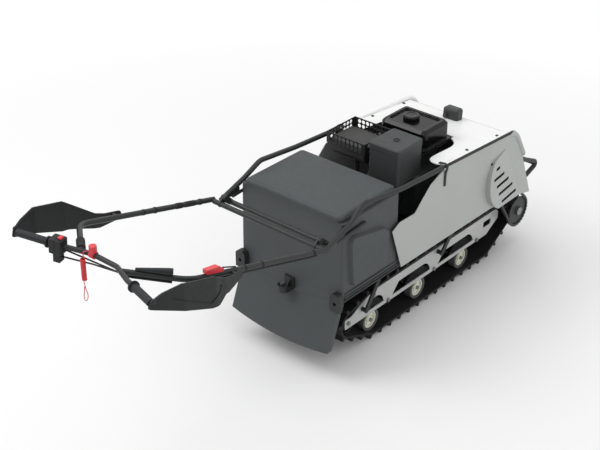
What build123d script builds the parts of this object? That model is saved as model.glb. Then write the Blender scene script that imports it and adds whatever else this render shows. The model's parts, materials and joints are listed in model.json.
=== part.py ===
from build123d import *
import math
import os

os.makedirs("parts", exist_ok=True)

# Tracked snow tug. Millimetres, +X forward, +Y to the machine's left, +Z up.
# Z is 0 at the tips of the lugs under the track. X is 0 at the middle of the machine's length.

# Track and running gear
TRACK_W = 500.0
BELT_T = 10.0
LUG_H = 20.0
LUG_ROOT = 22.0
LUG_TIP = 12.0
LUG_PITCH = 76.2
WHEEL_R = 60.0
WHEEL_W = 38.0
RIM_R = 45.0
RIM_W = 30.0
RIM_LIP = 7.0
DISC_T = 8.0
DISC_HOLE_R = 5.5
DISC_HOLE_RING = 29.0
DISC_HOLES = 6
HUB_R = 20.0
FRONT_WHEEL_X = 1063.0
WHEEL_SPAN = 950.0
WHEEL_PITCH = 190.0
OUTER_ROW_Y = 205.0
INNER_ROW_Y = 108.0
AXLE_R = 10.0
AXLE_END = 8.0
IDLER_BACK = 187.0
IDLER_Z = 170.0
IDLER_R = 62.0
CARRIER_AHEAD = 5.0
CARRIER_Z = 238.0
CARRIER_R = 43.0
DRIVE_X = 1283.0
DRIVE_Z = 226.0
DRIVE_R = 62.0
DRIVE_TEETH = 8
DRIVE_ROW_Y = 118.0
DRIVE_WHEEL_W = 36.0
SHAFT_R = 14.0
SHAFT_NUT_R = 24.0
SHAFT_NUT_H = 14.0
SEAT = 0.3

# Side rails, cross shafts and struts of the running gear
RAIL_Y = 228.0
RAIL_T = 6.0
RAIL_TOP = 262.0
RAIL_LOW = 140.0
RAIL_BAND = 44.0
RAIL_BAR = 20.0
RAIL_END = 24.0
RAIL_FRONT = 1190.0
RAIL_LEG = 32.0
WINDOW_LEAN = 52.0
WINDOW_CURVE = 70.0
FRONT_WINDOW_L = 70.0
FRONT_WINDOW_H = 34.0
BOGIE_AHEAD = 25.0
BOGIE_Y = 150.0
BOGIE_T = 8.0
BOGIE_R = 18.0
RAIL_REAR_FOOT = 96.0
# Shafts across the rails, columns: X, Z
SHAFT_SPOTS = [(30.0, 200.0), (640.0, 240.0)]
CROSS_R = 11.0
STRUT_T = 9.0
STRUT_W = 26.0
STRUT_RUN = 110.0
STRUT_LAP = 30.0

# Chassis tunnel and the plates that carry the drive shaft
DECK_FRONT = 1300.0
DECK_HALF = 268.0
DECK_TOP = 404.0
DECK_SKIRT = 338.0
DECK_T = 4.0
BEARING_T = 10.0
BEARING_W = 90.0

# Chain drive
SPROCKET_R = 80.0
SPROCKET_TEETH = 32
SPROCKET_T = 7.0
TOOTH_ANGLE = 70.0
SPROCKET_Y = -292.0
TOOTH_H = 6.0
CHAIN_W = 14.0
CHAIN_H = 9.0
CHAIN_PITCH = 19.05
LINK_L = 15.0
LINK_H = 13.0
LINK_T = 2.0
PINION_X = 1040.0
PINION_Z = 520.0
PINION_R = 40.0
CHAIN_SLOT_GAP = 8.0
GEARBOX_GAP = 40.0
GEARBOX_L = 150.0
GEARBOX_W = 150.0
GEARBOX_H = 200.0
GEARBOX_R = 25.0

# Trunk
TRUNK_REAR = -216.0
TRUNK_L = 408.0
TRUNK_HALF = 306.0
TRUNK_LOW = 412.0
TRUNK_H = 380.0
TRUNK_WALL = 5.0
TRUNK_R = 14.0
TRUNK_DRAFT = 0.6
LID_H = 30.0
LID_INSET = 18.0
LID_GAP = 0.5
LID_CORNER = 26.0
LID_R = 20.0
TRUNK_BEAD_Z = 12.0
TRUNK_BEAD = 6.0
POCKET_OUT = 22.0
POCKET_TAPER = 25.0
POCKET_R = 36.0
TRUNK_RAIL_OUT = 10.0
HINGE_LEAF = 26.0
# Side pocket's outline, columns: X, Z
POCKET_OUTLINE = [(-190.0, 728.0), (60.0, 676.0), (112.0, 640.0), (92.0, 446.0), (-170.0, 446.0)]
HINGE_Y = 170.0
HINGE_W = 90.0
KNUCKLE_R = 8.0
KNUCKLE_OUT = 11.0
HINGE_PIN_R = 4.0

# Rear end
APRON_HALF = 300.0
APRON_T = 5.0
APRON_OUT = 91.0
APRON_LOW_Z = 150.0
APRON_BEND_Z = 380.0
APRON_SEAM = 0.3
APRON_FLANGE = 30.0
# Scoop round the hitch: a cone whose axis runs back from the wall
SCOOP_Z = 1144.0
SCOOP_R = 806.0
SCOOP_ANGLE = 56.0
SCOOP_REACH = 110.0
EAR_Y = 292.0
EAR_Z = 391.0
EAR_W = 58.0
EAR_TOP = 440.0
EAR_LOW = 350.0
EAR_OUT = 32.0
EAR_R = 22.0
EAR_HOLE_R = 9.0
HITCH_W = 58.0
HITCH_OUT = 78.0
HITCH_T = 10.0
HITCH_HOLE_R = 8.5
HITCH_Z = 352.0
HITCH_PLATE_TOP = 408.0
HITCH_LIP = 24.0
HITCH_WEB = 8.0

# Bodywork
PANEL_Y = 322.0
PANEL_T = 4.0
HOOD_FRONT_X = 1085.0
HOOD_FRONT_Z = 763.0
HOOD_SLOPE = 4.6
HOOD_L = 582.0
HOOD_HALF = 306.0
HOOD_T = 5.0
HOOD_SEAM = 2.2
HOOD_CUT_HALF = 240.0
HOOD_CUT_L = 338.0
HOOD_CUT_R = 60.0
NOSE_LOW = (1334.0, 333.0)
NOSE_MIDDLE = (1268.0, 494.0)
NOSE_CROWN = (1168.0, 690.0)
NOSE_NOTCH_Z = 570.0
NOSE_TUBE_GAP = 0.5
PANEL_TOP_REAR_X = 503.0
# Side panel's rear edge from the top down and its foot from the rear forward, columns: X, Z
PANEL_REAR_EDGE = [(412.0, 746.0), (296.0, 642.0), (178.0, 645.0), (122.0, 618.0)]
PANEL_FOOT = [(203.0, 390.0), (961.0, 386.0), (1243.0, 354.0)]
# Louvred pod on the panel's front: its rear edge as an arc, then its fading front line, columns: X, Z
POD_REAR = [(994.0, 381.0), (898.0, 566.0), (948.0, 662.0)]
POD_FADE = [(1062.0, 694.0), (1236.0, 357.0)]
POD_OUT = 26.0
POD_T = 3.0
SLOT_W = 17.0
# Slots of the pod, columns: rear X, front X, Z
POD_SLOTS = [
    (958.0, 1000.0, 613.0), (936.0, 1050.0, 561.0), (966.0, 1102.0, 512.0), (991.0, 1148.0, 460.0),
    (1027.0, 1192.0, 404.0),
]
HOOD_TIP_R = 22.0
FASCIA_T = 4.0
LAMP_W = 92.0
LAMP_D = 58.0
LAMP_H = 58.0
LAMP_EDGE = 9.0
LENS_T = 8.0
LAMP_BACK = 12.0
GLAND_R = 11.0
GLAND_L = 14.0
GLAND_Y = -22.0
GLAND_Z = 17.0
BUMPER_TIP = (1455.0, 452.0)
BUMPER_BAR_BACK = 23.5
BUMPER_HALF = 277.0
# Bumper leg from its upper foot round to its lower foot, columns: X, Z
BUMPER_LEG = [(1225.0, 561.0), BUMPER_TIP, (1285.0, 394.0)]
BUMPER_LEG_R = 17.0

# Cage and handlebar tubes
TUBE_R = 12.5
CAGE_Y = 321.0
CAGE_RUN_FRONT = (1137.0, 761.5)
CAGE_RUN_REAR = (188.0, 818.0)
CAGE_FRONT_END = (1240.0, 592.0)
CAGE_TOP = (-80.0, 851.0)
CAGE_TOP_Y = 312.0
CAGE_DROP = (-182.0, 795.0)
CAGE_REAR_END = (-340.0, 742.0)
CAGE_NOSE_R = 115.0
CAGE_BENDS = [CAGE_NOSE_R, 200.0, 60.0, 60.0]
CAGE_CROSS = (-324.0, 746.0)
BAR_CROSS = (-378.0, 752.0)
STRUT_ROUTE = [(-268.0, 736.0), (-70.0, 750.0)]
STRUT_R = 8.0
STRUT_SEAM = 1.2
GUSSET = [(-300.0, 742.0), (-222.0, 768.2), (-222.0, 742.0), (-262.0, 738.0)]
GUSSET_T = 6.0
ARM_SEAM = 1.0
ARM_APEX = (-1164.0, 322.0, 975.0)
ARM_JOINT_AT = 46.0
ARM_COPE = 6.0
ARM_BEND = 110.0
GRIP_END = (-1422.0, 382.0, 1027.0)
GRIP_BEND = (-1364.0, 190.0, 1016.0)
BAR_BEND = (-1308.0, 72.0, 1000.0)
BAR_RADII = [50.0, 50.0, 50.0, 50.0]
GRIP_CAP = 6.0
SLEEVE_R = 17.0
SLEEVE_L = 84.0
SLEEVE_AT = 62.0
SLEEVE_RIBS = 6
SLEEVE_RIB = 1.6
# Hand guard seen from above, columns: X, Y
GUARD_PLAN = [(-1447.0, 392.0), (-1300.0, 432.0), (-1130.0, 440.0), (-1035.0, 384.0), (-905.0, 353.0)]
GUARD_BEND = 60.0
# Hand guard seen from the side, columns: X, Z
GUARD_SIDE = [
    (-1445.0, 1012.0), (-1434.0, 1042.0), (-1388.0, 1062.0), (-1306.0, 1074.0), (-1150.0, 1034.0),
    (-1026.0, 945.0), (-985.0, 931.0), (-915.0, 922.0), (-906.0, 888.0), (-1012.0, 872.0), (-1080.0, 884.0),
    (-1165.0, 898.0), (-1300.0, 952.0), (-1422.0, 1002.0),
]
GUARD_CORNER = 7.0
GUARD_LOW = 840.0
GUARD_HIGH = 1090.0
# Sunk field on the outside of the guard inside its raised rim, columns: X, Z
GUARD_FIELD = [(-1360.0, 1030.0), (-1300.0, 1050.0), (-1160.0, 1012.0), (-1085.0, 958.0), (-1170.0, 922.0)]
GUARD_RIM_OUT = 3.0
GUARD_POST_X = -950.0
GUARD_POST_END = 365.0
GUARD_BOSS = 9.0
GUARD_POST_R = 9.0
SWITCH_AT = 186.0
SWITCH_W = 58.0
SWITCH_H = 66.0
SWITCH_D = 54.0
SWITCH_EDGE = 6.0
SWITCH_SEAM = 2.0
CLAMP_D = 34.0
CLAMP_H = 40.0
CLAMP_W = 30.0
ROCKER_W = 22.0
ROCKER_D = 16.0
ROCKER_OUT = 8.0
STOP_Y = 66.0
STOP_R = 16.0
STOP_RING = 17.0
STOP_W = 24.0
STOP_H = 40.0
CABLE_R = 3.5
CABLE_BEND = 30.0
# Cables from the switch box towards the right arm, columns: X, Y, Z
CABLES = [
    [(-1366.0, 198.0, 966.0), (-1318.0, 60.0, 962.0)],
    [(-1356.0, 184.0, 998.0), (-1318.0, 96.0, 972.0)],
]
CABLE_ON_ARM = (40.0, 200.0)
CABLE_STEP = 8.0
HARNESS_R = 5.0
HARNESS_FRONT = -430.0
HARNESS_REAR = -1090.0
# Plug on the right arm: distances along the arm from the bar and the radii there
PLUG_AT = (56.0, 184.0)
PLUG_R = (6.0, 14.0)
PLUG_CAP = 16.0
LEVER_X = -1000.0
LEVER_T = 26.0
# Shift lever's outline, columns: distance along the arm, height above its seat on the arm
LEVER_SIDE = [(0.0, 0.0), (92.0, 0.0), (96.0, 18.0), (30.0, 26.0), (2.0, 14.0)]
LEVER_ROD_R = 3.0
LEVER_ROD_L = 80.0
LEVER_ROD_UP = 12.0
BAR_R = 11.0
GRIP_R = 16.5
GRIP_L = 150.0
FLANGE_R = 24.0
PIVOT_X = -352.0
PIVOT_Z = 772.0
HINGE_EAR_Y = 285.0
HINGE_EAR_T = 8.0
HINGE_EAR_R = 15.0
HINGE_GAP = 0.5
PIN_R = 6.0
PIN_CLEAR = 0.05
ARM_Y = 340.0
GUARD_T = 4.0
LANYARD_R = 9.0
LANYARD_L = 107.0
LANYARD_X = -1345.0
LANYARD_Y = 88.0
LANYARD_TOP = 993.0
LANYARD_LEAD_R = 2.0
LANYARD_LEAD_BEND = 8.0
CLIP_SHANK_W = 10.0
CLIP_SHANK_L = 26.0
CLIP_L = 70.0
CLIP_W = 24.0
CLIP_WIRE = 5.0

# Engine
ENGINE_X0 = 560.0
ENGINE_X1 = 840.0
ENGINE_HALF = 135.0
ENGINE_TOP = 660.0
NECK_INSET = 45.0
FIN_COUNT = 7
FIN_PITCH = 17.0
FIN_T = 5.0
CYLINDER_TILT = 25.0
TANK_X0 = 608.0
TANK_X1 = 820.0
TANK_HALF = 138.0
TANK_LOW = 770.0
TANK_H = 112.0
TANK_RIM = 12.0
TANK_SHOULDER = 16.0
TANK_RIM_W = 14.0
TANK_RECESS = 9.0
CAP_R = 35.0
CAP_SIDES = 10
CAP_EDGE = 4.0
CAP_Y = 22.0
AIRBOX_X0 = 328.0
AIRBOX_X1 = 523.0
AIRBOX_Y0 = -190.0
AIRBOX_Y1 = -12.0
AIRBOX_LOW = 717.0
AIRBOX_H = 188.0
AIRBOX_LID_H = 30.0
AIRBOX_LID_OUT = 2.0
MUFFLER_X0 = 335.0
MUFFLER_X1 = 525.0
MUFFLER_Y0 = 20.0
MUFFLER_Y1 = 225.0
MUFFLER_LOW = 760.0
MUFFLER_H = 88.0
MESH_GAP = 12.0
MESH_SHEET = 3.0
MESH_RISE = 33.0
MESH_FOOT = 58.0
MESH_HOLE_R = 10.5
MESH_PITCH = 25.0
MESH_ROWS = 2
ENGINE_R = 30.0
CYLINDER_Z = 560.0
FIN_W = 150.0
FIN_OUT = 18.0
FIN_FIRST = 40.0
HEAD_L = 60.0
TANK_R = 30.0
CAP_H = 16.0
AIRBOX_R = 16.0
MUFFLER_R = 35.0
PIPE_R = 14.0
PIPE_BEND = 30.0
CARB_L = 60.0
CARB_H = 45.0
PEG_R = 6.0
PEG_STEP = 75.0
PEG_DROP = 16.0

WHEEL_Z = LUG_H + BELT_T + WHEEL_R
# Axles go in pairs, one with its wheels in the inner rows and one in the outer rows, spread over the span
axle_count = 2 * round((WHEEL_SPAN / WHEEL_PITCH + 1) / 2)
axle_step = WHEEL_SPAN / (axle_count - 1)
WHEEL_XS = [FRONT_WHEEL_X - i * axle_step for i in range(axle_count)]
REAR_WHEEL_X = WHEEL_XS[-1]
INNER_XS = WHEEL_XS[0::2]
OUTER_XS = WHEEL_XS[1::2]
IDLER_X = REAR_WHEEL_X - IDLER_BACK
CARRIER_X = REAR_WHEEL_X + CARRIER_AHEAD
BOGIE_Z = RAIL_LOW + RAIL_BAR / 2
BOGIE_XS = [(a + b) / 2 + BOGIE_AHEAD for a, b in zip(INNER_XS, OUTER_XS)]
TRUNK_FRONT = TRUNK_REAR + TRUNK_L
TRUNK_TOP = TRUNK_LOW + TRUNK_H
# The apron's wall is flush with the foot of the trunk's rear face
APRON_FACE_X = TRUNK_REAR - TRUNK_H * math.tan(math.radians(TRUNK_DRAFT))
DECK_REAR = APRON_FACE_X + APRON_T + SEAT
TANK_TOP = TANK_LOW + TANK_H
AIRBOX_TOP = AIRBOX_LOW + AIRBOX_H
MUFFLER_TOP = MUFFLER_LOW + MUFFLER_H
TURNED = (90, 0, 0)
SIDES = (-1, 1)


def save(piece, label):
    """Name a finished piece and write it."""
    piece.part.label = label
    export_step(piece.part, f"parts/{label}.step")


def tube(points, radii, radius, mode=Mode.ADD):
    """A round tube along straight runs with rounded corners, in the open part."""
    with BuildLine() as path:
        if len(points) > 2:
            FilletPolyline(*points, radius=radii)
        else:
            Line(*points)
    route = path.wire()
    with BuildSketch(Plane(route @ 0, z_dir=route % 0)) as section:
        Circle(radius)
    sweep(sections=section.sketch, path=route, mode=mode)


def on_side(side, points):
    """Points given for the left side, placed on the given side."""
    return [(x, side * y, z) for x, y, z in points]


# Track: the belt runs over the drive wheels, the road wheels, the idlers and the carrier rollers
# Columns: X, Z, radius of each round that the belt runs over
ROUNDS = [
    (DRIVE_X, DRIVE_Z, DRIVE_R),
    (FRONT_WHEEL_X, WHEEL_Z, WHEEL_R),
    (REAR_WHEEL_X, WHEEL_Z, WHEEL_R),
    (IDLER_X, IDLER_Z, IDLER_R),
    (CARRIER_X, CARRIER_Z, CARRIER_R),
]


def belt_face(grow):
    """The filled loop around all rounds, grown by the given amount, in the sketch's own X and Y."""
    with BuildSketch() as loop:
        for x, z, r in ROUNDS:
            with Locations((x, z)):
                Circle(r + grow)
        make_hull(loop.edges())
    return loop.face()


belt_inner = belt_face(0)
belt_outer = belt_face(BELT_T)
belt_path = belt_outer.outer_wire()
belt_middle = belt_outer.center()
lug_count = 2 * round(belt_path.length / LUG_PITCH / 2)


def lug_sections(first, step):
    """Trapezoid lug sections at every step-th pitch, rooted half way into the belt."""
    root = BELT_T / 2
    half_root = LUG_ROOT / 2
    half_tip = LUG_TIP / 2
    for i in range(first, lug_count, step):
        at = belt_path.position_at(i / lug_count)
        along = belt_path.tangent_at(i / lug_count)
        out = Vector(along.Y, -along.X)
        if out.dot(at - belt_middle) < 0:
            out = out * -1
        side = Vector(-out.Y, out.X)
        low = at - out * root
        tip = at + out * LUG_H
        with BuildLine() as section:
            Polyline(
                low - side * half_root,
                low + side * half_root,
                tip + side * half_tip,
                tip - side * half_tip,
                close=True,
            )
        make_face(section.edges())


with BuildPart() as track_belt:
    with BuildSketch(Plane.XZ):
        add(belt_outer)
        add(belt_inner, mode=Mode.SUBTRACT)
    extrude(amount=TRACK_W / 2, both=True)
    with BuildSketch(Plane.XZ):
        lug_sections(0, 1)
    extrude(amount=TRACK_W / 2, both=True)
save(track_belt, "track_belt")

# Road wheels: rubber tyres on dished discs, in outer and inner rows by turns
outer_spots = [(x, side * OUTER_ROW_Y, WHEEL_Z) for x in OUTER_XS for side in SIDES]
inner_spots = [(x, side * INNER_ROW_Y, WHEEL_Z) for x in INNER_XS for side in SIDES]
idler_spots = [(IDLER_X, side * y, IDLER_Z) for y in (INNER_ROW_Y, OUTER_ROW_Y) for side in SIDES]
carrier_spots = [(CARRIER_X, side * INNER_ROW_Y, CARRIER_Z) for side in SIDES]

with BuildPart() as wheel_tyres:
    with Locations(*outer_spots):
        Cylinder(WHEEL_R - SEAT, WHEEL_W, rotation=TURNED)
        Cylinder(RIM_R, WHEEL_W, rotation=TURNED, mode=Mode.SUBTRACT)
save(wheel_tyres, "wheel_tyres")


def wheel_discs(spots, radius, width):
    """Dished discs with a rim and a hub, at the given wheel centres."""
    with Locations(*spots):
        Cylinder(radius - SEAT, width, rotation=TURNED)
        Cylinder(radius - RIM_LIP, width, rotation=TURNED, mode=Mode.SUBTRACT)
        Cylinder(radius - RIM_LIP, DISC_T, rotation=TURNED)
        Cylinder(HUB_R, width, rotation=TURNED)
        Cylinder(AXLE_R + SEAT, width, rotation=TURNED, mode=Mode.SUBTRACT)


with BuildPart() as wheel_discs_outer:
    wheel_discs(outer_spots, RIM_R, RIM_W)
    with BuildSketch(Plane.XZ):
        with Locations(*[(x, WHEEL_Z) for x in OUTER_XS]):
            with PolarLocations(DISC_HOLE_RING, DISC_HOLES):
                Circle(DISC_HOLE_R)
    extrude(amount=OUTER_ROW_Y + RIM_W, both=True, mode=Mode.SUBTRACT)
save(wheel_discs_outer, "wheel_discs_outer")

# The inner wheels, the idlers and the carrier rollers are moulded in one piece
with BuildPart() as wheel_discs_inner:
    wheel_discs(inner_spots, WHEEL_R, WHEEL_W)
    wheel_discs(idler_spots, IDLER_R, WHEEL_W)
    wheel_discs(carrier_spots, CARRIER_R, WHEEL_W)
save(wheel_discs_inner, "wheel_discs_inner")

outer_axle_l = 2 * (OUTER_ROW_Y + RIM_W / 2 + AXLE_END)
inner_axle_l = 2 * (BOGIE_Y + BOGIE_T + AXLE_END)
rail_axle_l = 2 * (RAIL_Y + RAIL_T + AXLE_END)
bogie_pivots = [(x, BOGIE_Z) for x in BOGIE_XS]
roller_axles = [(IDLER_X, IDLER_Z), (CARRIER_X, CARRIER_Z)]
with BuildPart() as wheel_axles:
    with Locations(*[(x, 0, WHEEL_Z) for x in OUTER_XS]):
        Cylinder(AXLE_R, outer_axle_l, rotation=TURNED)
    with Locations(*[(x, 0, WHEEL_Z) for x in INNER_XS]):
        Cylinder(AXLE_R, inner_axle_l, rotation=TURNED)
    with Locations(*[(x, 0, z) for x, z in bogie_pivots + roller_axles]):
        Cylinder(AXLE_R, rail_axle_l, rotation=TURNED)
save(wheel_axles, "wheel_axles")

# Side rails: cut plates with a band on top, a thin bar below and legs over the bogie pivots
window_low = RAIL_LOW + RAIL_BAR
window_top = RAIL_TOP - RAIL_BAND
rail_feet = [IDLER_X + RAIL_REAR_FOOT, *sorted(BOGIE_XS)]


def rail_window(rear_foot, front_foot):
    """A window between two legs: it leans forward at its rear and curves down at its front."""
    rear = rear_foot + RAIL_LEG
    front = front_foot - RAIL_LEG
    with BuildLine() as outline:
        top = Polyline((front, window_low), (rear, window_low), (rear + WINDOW_LEAN, window_top),
                       (front - WINDOW_LEAN, window_top))
        RadiusArc(top @ 1, top @ 0, WINDOW_CURVE)
    make_face(outline.edges(), mode=Mode.SUBTRACT)


with BuildSketch(Plane.XZ) as rail_plate:
    with BuildLine():
        Polyline(
            (IDLER_X - RAIL_END, RAIL_LOW),
            (FRONT_WHEEL_X + RAIL_END, RAIL_LOW),
            (RAIL_FRONT, (RAIL_TOP + RAIL_LOW) / 2),
            (RAIL_FRONT, RAIL_TOP - RAIL_END),
            (RAIL_FRONT - RAIL_END, RAIL_TOP),
            (CARRIER_X - RAIL_END, RAIL_TOP),
            (IDLER_X + RAIL_END, IDLER_Z + RAIL_END),
            (IDLER_X - RAIL_END, IDLER_Z + RAIL_END),
            close=True,
        )
    make_face()
    fillet(rail_plate.vertices(), RAIL_END / 3)
    for rear_foot, front_foot in zip(rail_feet, rail_feet[1:]):
        rail_window(rear_foot, front_foot)
    with Locations((FRONT_WHEEL_X + RAIL_END, (window_low + RAIL_TOP) / 2)):
        RectangleRounded(FRONT_WINDOW_L, FRONT_WINDOW_H, RAIL_END / 3, mode=Mode.SUBTRACT)
    with Locations(*bogie_pivots, *roller_axles):
        Circle(AXLE_R + SEAT, mode=Mode.SUBTRACT)
    with Locations(*SHAFT_SPOTS):
        Circle(CROSS_R + SEAT, mode=Mode.SUBTRACT)

with BuildPart() as side_rails:
    for face_y in (-RAIL_Y, RAIL_Y + RAIL_T):
        extrude(rail_plate.sketch.moved(Location((0, face_y, 0))), amount=RAIL_T)
save(side_rails, "side_rails")

# Suspension: shafts across the rails, the struts that hang them from the tunnel, and the bogie plates
skirt_in = DECK_HALF - DECK_T
with BuildPart() as suspension:
    with Locations(*[(x, 0, z) for x, z in SHAFT_SPOTS]):
        Cylinder(CROSS_R, 2 * (skirt_in - STRUT_T - SEAT), rotation=TURNED)
    for face_y in (skirt_in, STRUT_T - skirt_in):
        with BuildSketch(Plane.XZ.offset(-face_y)):
            for x, z in SHAFT_SPOTS:
                rise = DECK_SKIRT + STRUT_LAP - z
                with Locations((x + STRUT_RUN / 2, z + rise / 2)):
                    SlotCenterToCenter(
                        math.hypot(rise, STRUT_RUN),
                        STRUT_W,
                        rotation=math.degrees(math.atan2(rise, STRUT_RUN)),
                    )
        extrude(amount=STRUT_T)
    for inner_x, outer_x, pivot_x in zip(INNER_XS, OUTER_XS, BOGIE_XS):
        corners = [(inner_x, WHEEL_Z), (outer_x, WHEEL_Z), (pivot_x, BOGIE_Z)]
        for side in SIDES:
            with BuildSketch(Plane.XZ.offset(-side * BOGIE_Y)) as bogie:
                with Locations(*corners):
                    Circle(BOGIE_R)
                make_hull(bogie.sketch_local.edges())
                with Locations(*corners):
                    Circle(AXLE_R + SEAT, mode=Mode.SUBTRACT)
            extrude(amount=BOGIE_T / 2, both=True)
save(suspension, "suspension")

# Chassis tunnel: a top plate with two skirts
chain_cut_w = PANEL_Y - DECK_HALF - CHAIN_SLOT_GAP
deck_l = DECK_FRONT - DECK_REAR
deck_x = (DECK_FRONT + DECK_REAR) / 2
with BuildPart() as deck_plate:
    with Locations((deck_x, 0, DECK_TOP)):
        Box(deck_l, 2 * (PANEL_Y - SEAT), DECK_T, align=(Align.CENTER, Align.CENTER, Align.MAX))
    with Locations((DECK_FRONT, -PANEL_Y, DECK_TOP)):
        Box(
            DECK_FRONT - PINION_X + PINION_R,
            chain_cut_w,
            3 * DECK_T,
            align=(Align.MAX, Align.MIN, Align.CENTER),
            mode=Mode.SUBTRACT,
        )
save(deck_plate, "deck_plate")

skirt_h = DECK_TOP - DECK_T - DECK_SKIRT
with BuildPart() as deck_sides:
    with Locations(*[(deck_x, side * (DECK_HALF - DECK_T / 2), DECK_SKIRT) for side in SIDES]):
        Box(deck_l, DECK_T, skirt_h, align=(Align.CENTER, Align.CENTER, Align.MIN))
    # Bearing plates hang from the skirts and carry the drive shaft
    for face_y in (skirt_in, BEARING_T - skirt_in):
        with BuildSketch(Plane.XZ.offset(-face_y)):
            with Locations((DRIVE_X, DRIVE_Z)):
                Circle(BEARING_W / 2)
            with Locations((DRIVE_X - BEARING_W / 2, DRIVE_Z)):
                Rectangle(BEARING_W, DECK_TOP - DECK_T - DRIVE_Z, align=(Align.MIN, Align.MIN))
            with Locations((DECK_FRONT, DRIVE_Z)):
                Rectangle(
                    BEARING_W,
                    DECK_TOP - DRIVE_Z,
                    align=(Align.MIN, Align.MIN),
                    mode=Mode.SUBTRACT,
                )
            with Locations((DRIVE_X, DRIVE_Z)):
                Circle(SHAFT_R + SEAT, mode=Mode.SUBTRACT)
        extrude(amount=BEARING_T)
save(deck_sides, "deck_sides")

# Drive shaft with toothed wheels inside the belt
with BuildPart() as drive_shaft:
    with Locations((DRIVE_X, (skirt_in + SPROCKET_Y - SPROCKET_T) / 2, DRIVE_Z)):
        Cylinder(SHAFT_R, skirt_in - SPROCKET_Y + SPROCKET_T, rotation=TURNED)
    for y in (-DRIVE_ROW_Y, DRIVE_ROW_Y):
        with BuildSketch(Plane.XZ.offset(-y)):
            with Locations((DRIVE_X, DRIVE_Z)):
                Circle(DRIVE_R - 2 * TOOTH_H)
                with PolarLocations(DRIVE_R - 2 * TOOTH_H - SEAT, DRIVE_TEETH):
                    Rectangle(4 * TOOTH_H, 2 * TOOTH_H)
        extrude(amount=DRIVE_WHEEL_W / 2, both=True)
    # Nut outside the chain sprocket
    with BuildSketch(Plane.XZ.offset(SPROCKET_T / 2 + SEAT - SPROCKET_Y)):
        with Locations((DRIVE_X, DRIVE_Z)):
            RegularPolygon(SHAFT_NUT_R, 6)
    extrude(amount=SHAFT_NUT_H)
save(drive_shaft, "drive_shaft")

# Chain sprocket at the shaft's right end, the pinion above it and the chain around both
with BuildPart() as chain_wheels:
    with BuildSketch(Plane.XZ.offset(-SPROCKET_Y)):
        with Locations((DRIVE_X, DRIVE_Z)):
            Circle(SPROCKET_R - TOOTH_H)
            with PolarLocations(SPROCKET_R - TOOTH_H, SPROCKET_TEETH):
                Trapezoid(2 * TOOTH_H, 2 * TOOTH_H, TOOTH_ANGLE, rotation=-90)
            Circle(SHAFT_R + SEAT, mode=Mode.SUBTRACT)
    extrude(amount=SPROCKET_T / 2, both=True)
    with BuildSketch(Plane.XZ.offset(-SPROCKET_Y)):
        with Locations((PINION_X, PINION_Z)):
            Circle(PINION_R)
    extrude(amount=SPROCKET_T / 2, both=True)
    with Locations((PINION_X, SPROCKET_Y, PINION_Z)):
        Cylinder(SHAFT_R, GEARBOX_GAP, rotation=TURNED, align=(Align.CENTER, Align.CENTER, Align.MAX))
save(chain_wheels, "chain_wheels")


def chain_face(grow):
    """The filled loop around the sprocket and the pinion, grown by the given amount."""
    with BuildSketch() as loop:
        with Locations((DRIVE_X, DRIVE_Z)):
            Circle(SPROCKET_R + grow)
        with Locations((PINION_X, PINION_Z)):
            Circle(PINION_R + grow)
        make_hull(loop.edges())
    return loop.face()


chain_path = chain_face(CHAIN_H / 2).outer_wire()
link_count = round(chain_path.length / CHAIN_PITCH)
with BuildPart() as drive_chain:
    with BuildSketch(Plane.XZ.offset(-SPROCKET_Y)):
        add(chain_face(CHAIN_H))
        add(chain_face(SEAT), mode=Mode.SUBTRACT)
    extrude(amount=CHAIN_W / 2, both=True)
    # Link plates on the open side of the chain
    with BuildSketch(Plane.XZ.offset(CHAIN_W / 2 - SPROCKET_Y)):
        for i in range(link_count):
            spot = chain_path.position_at(i / link_count)
            along = chain_path.tangent_at(i / link_count)
            with Locations(Location((spot.X, spot.Y, 0), (0, 0, math.degrees(math.atan2(along.Y, along.X))))):
                Rectangle(LINK_L, LINK_H)
    extrude(amount=LINK_T)
save(drive_chain, "drive_chain")

with BuildPart() as gearbox:
    with Locations((PINION_X, SPROCKET_Y + GEARBOX_GAP, DECK_TOP)):
        Box(GEARBOX_L, GEARBOX_W, GEARBOX_H, align=(Align.CENTER, Align.MIN, Align.MIN))
    fillet(gearbox.edges().filter_by(Axis.Y), GEARBOX_R)
save(gearbox, "gearbox")

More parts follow.
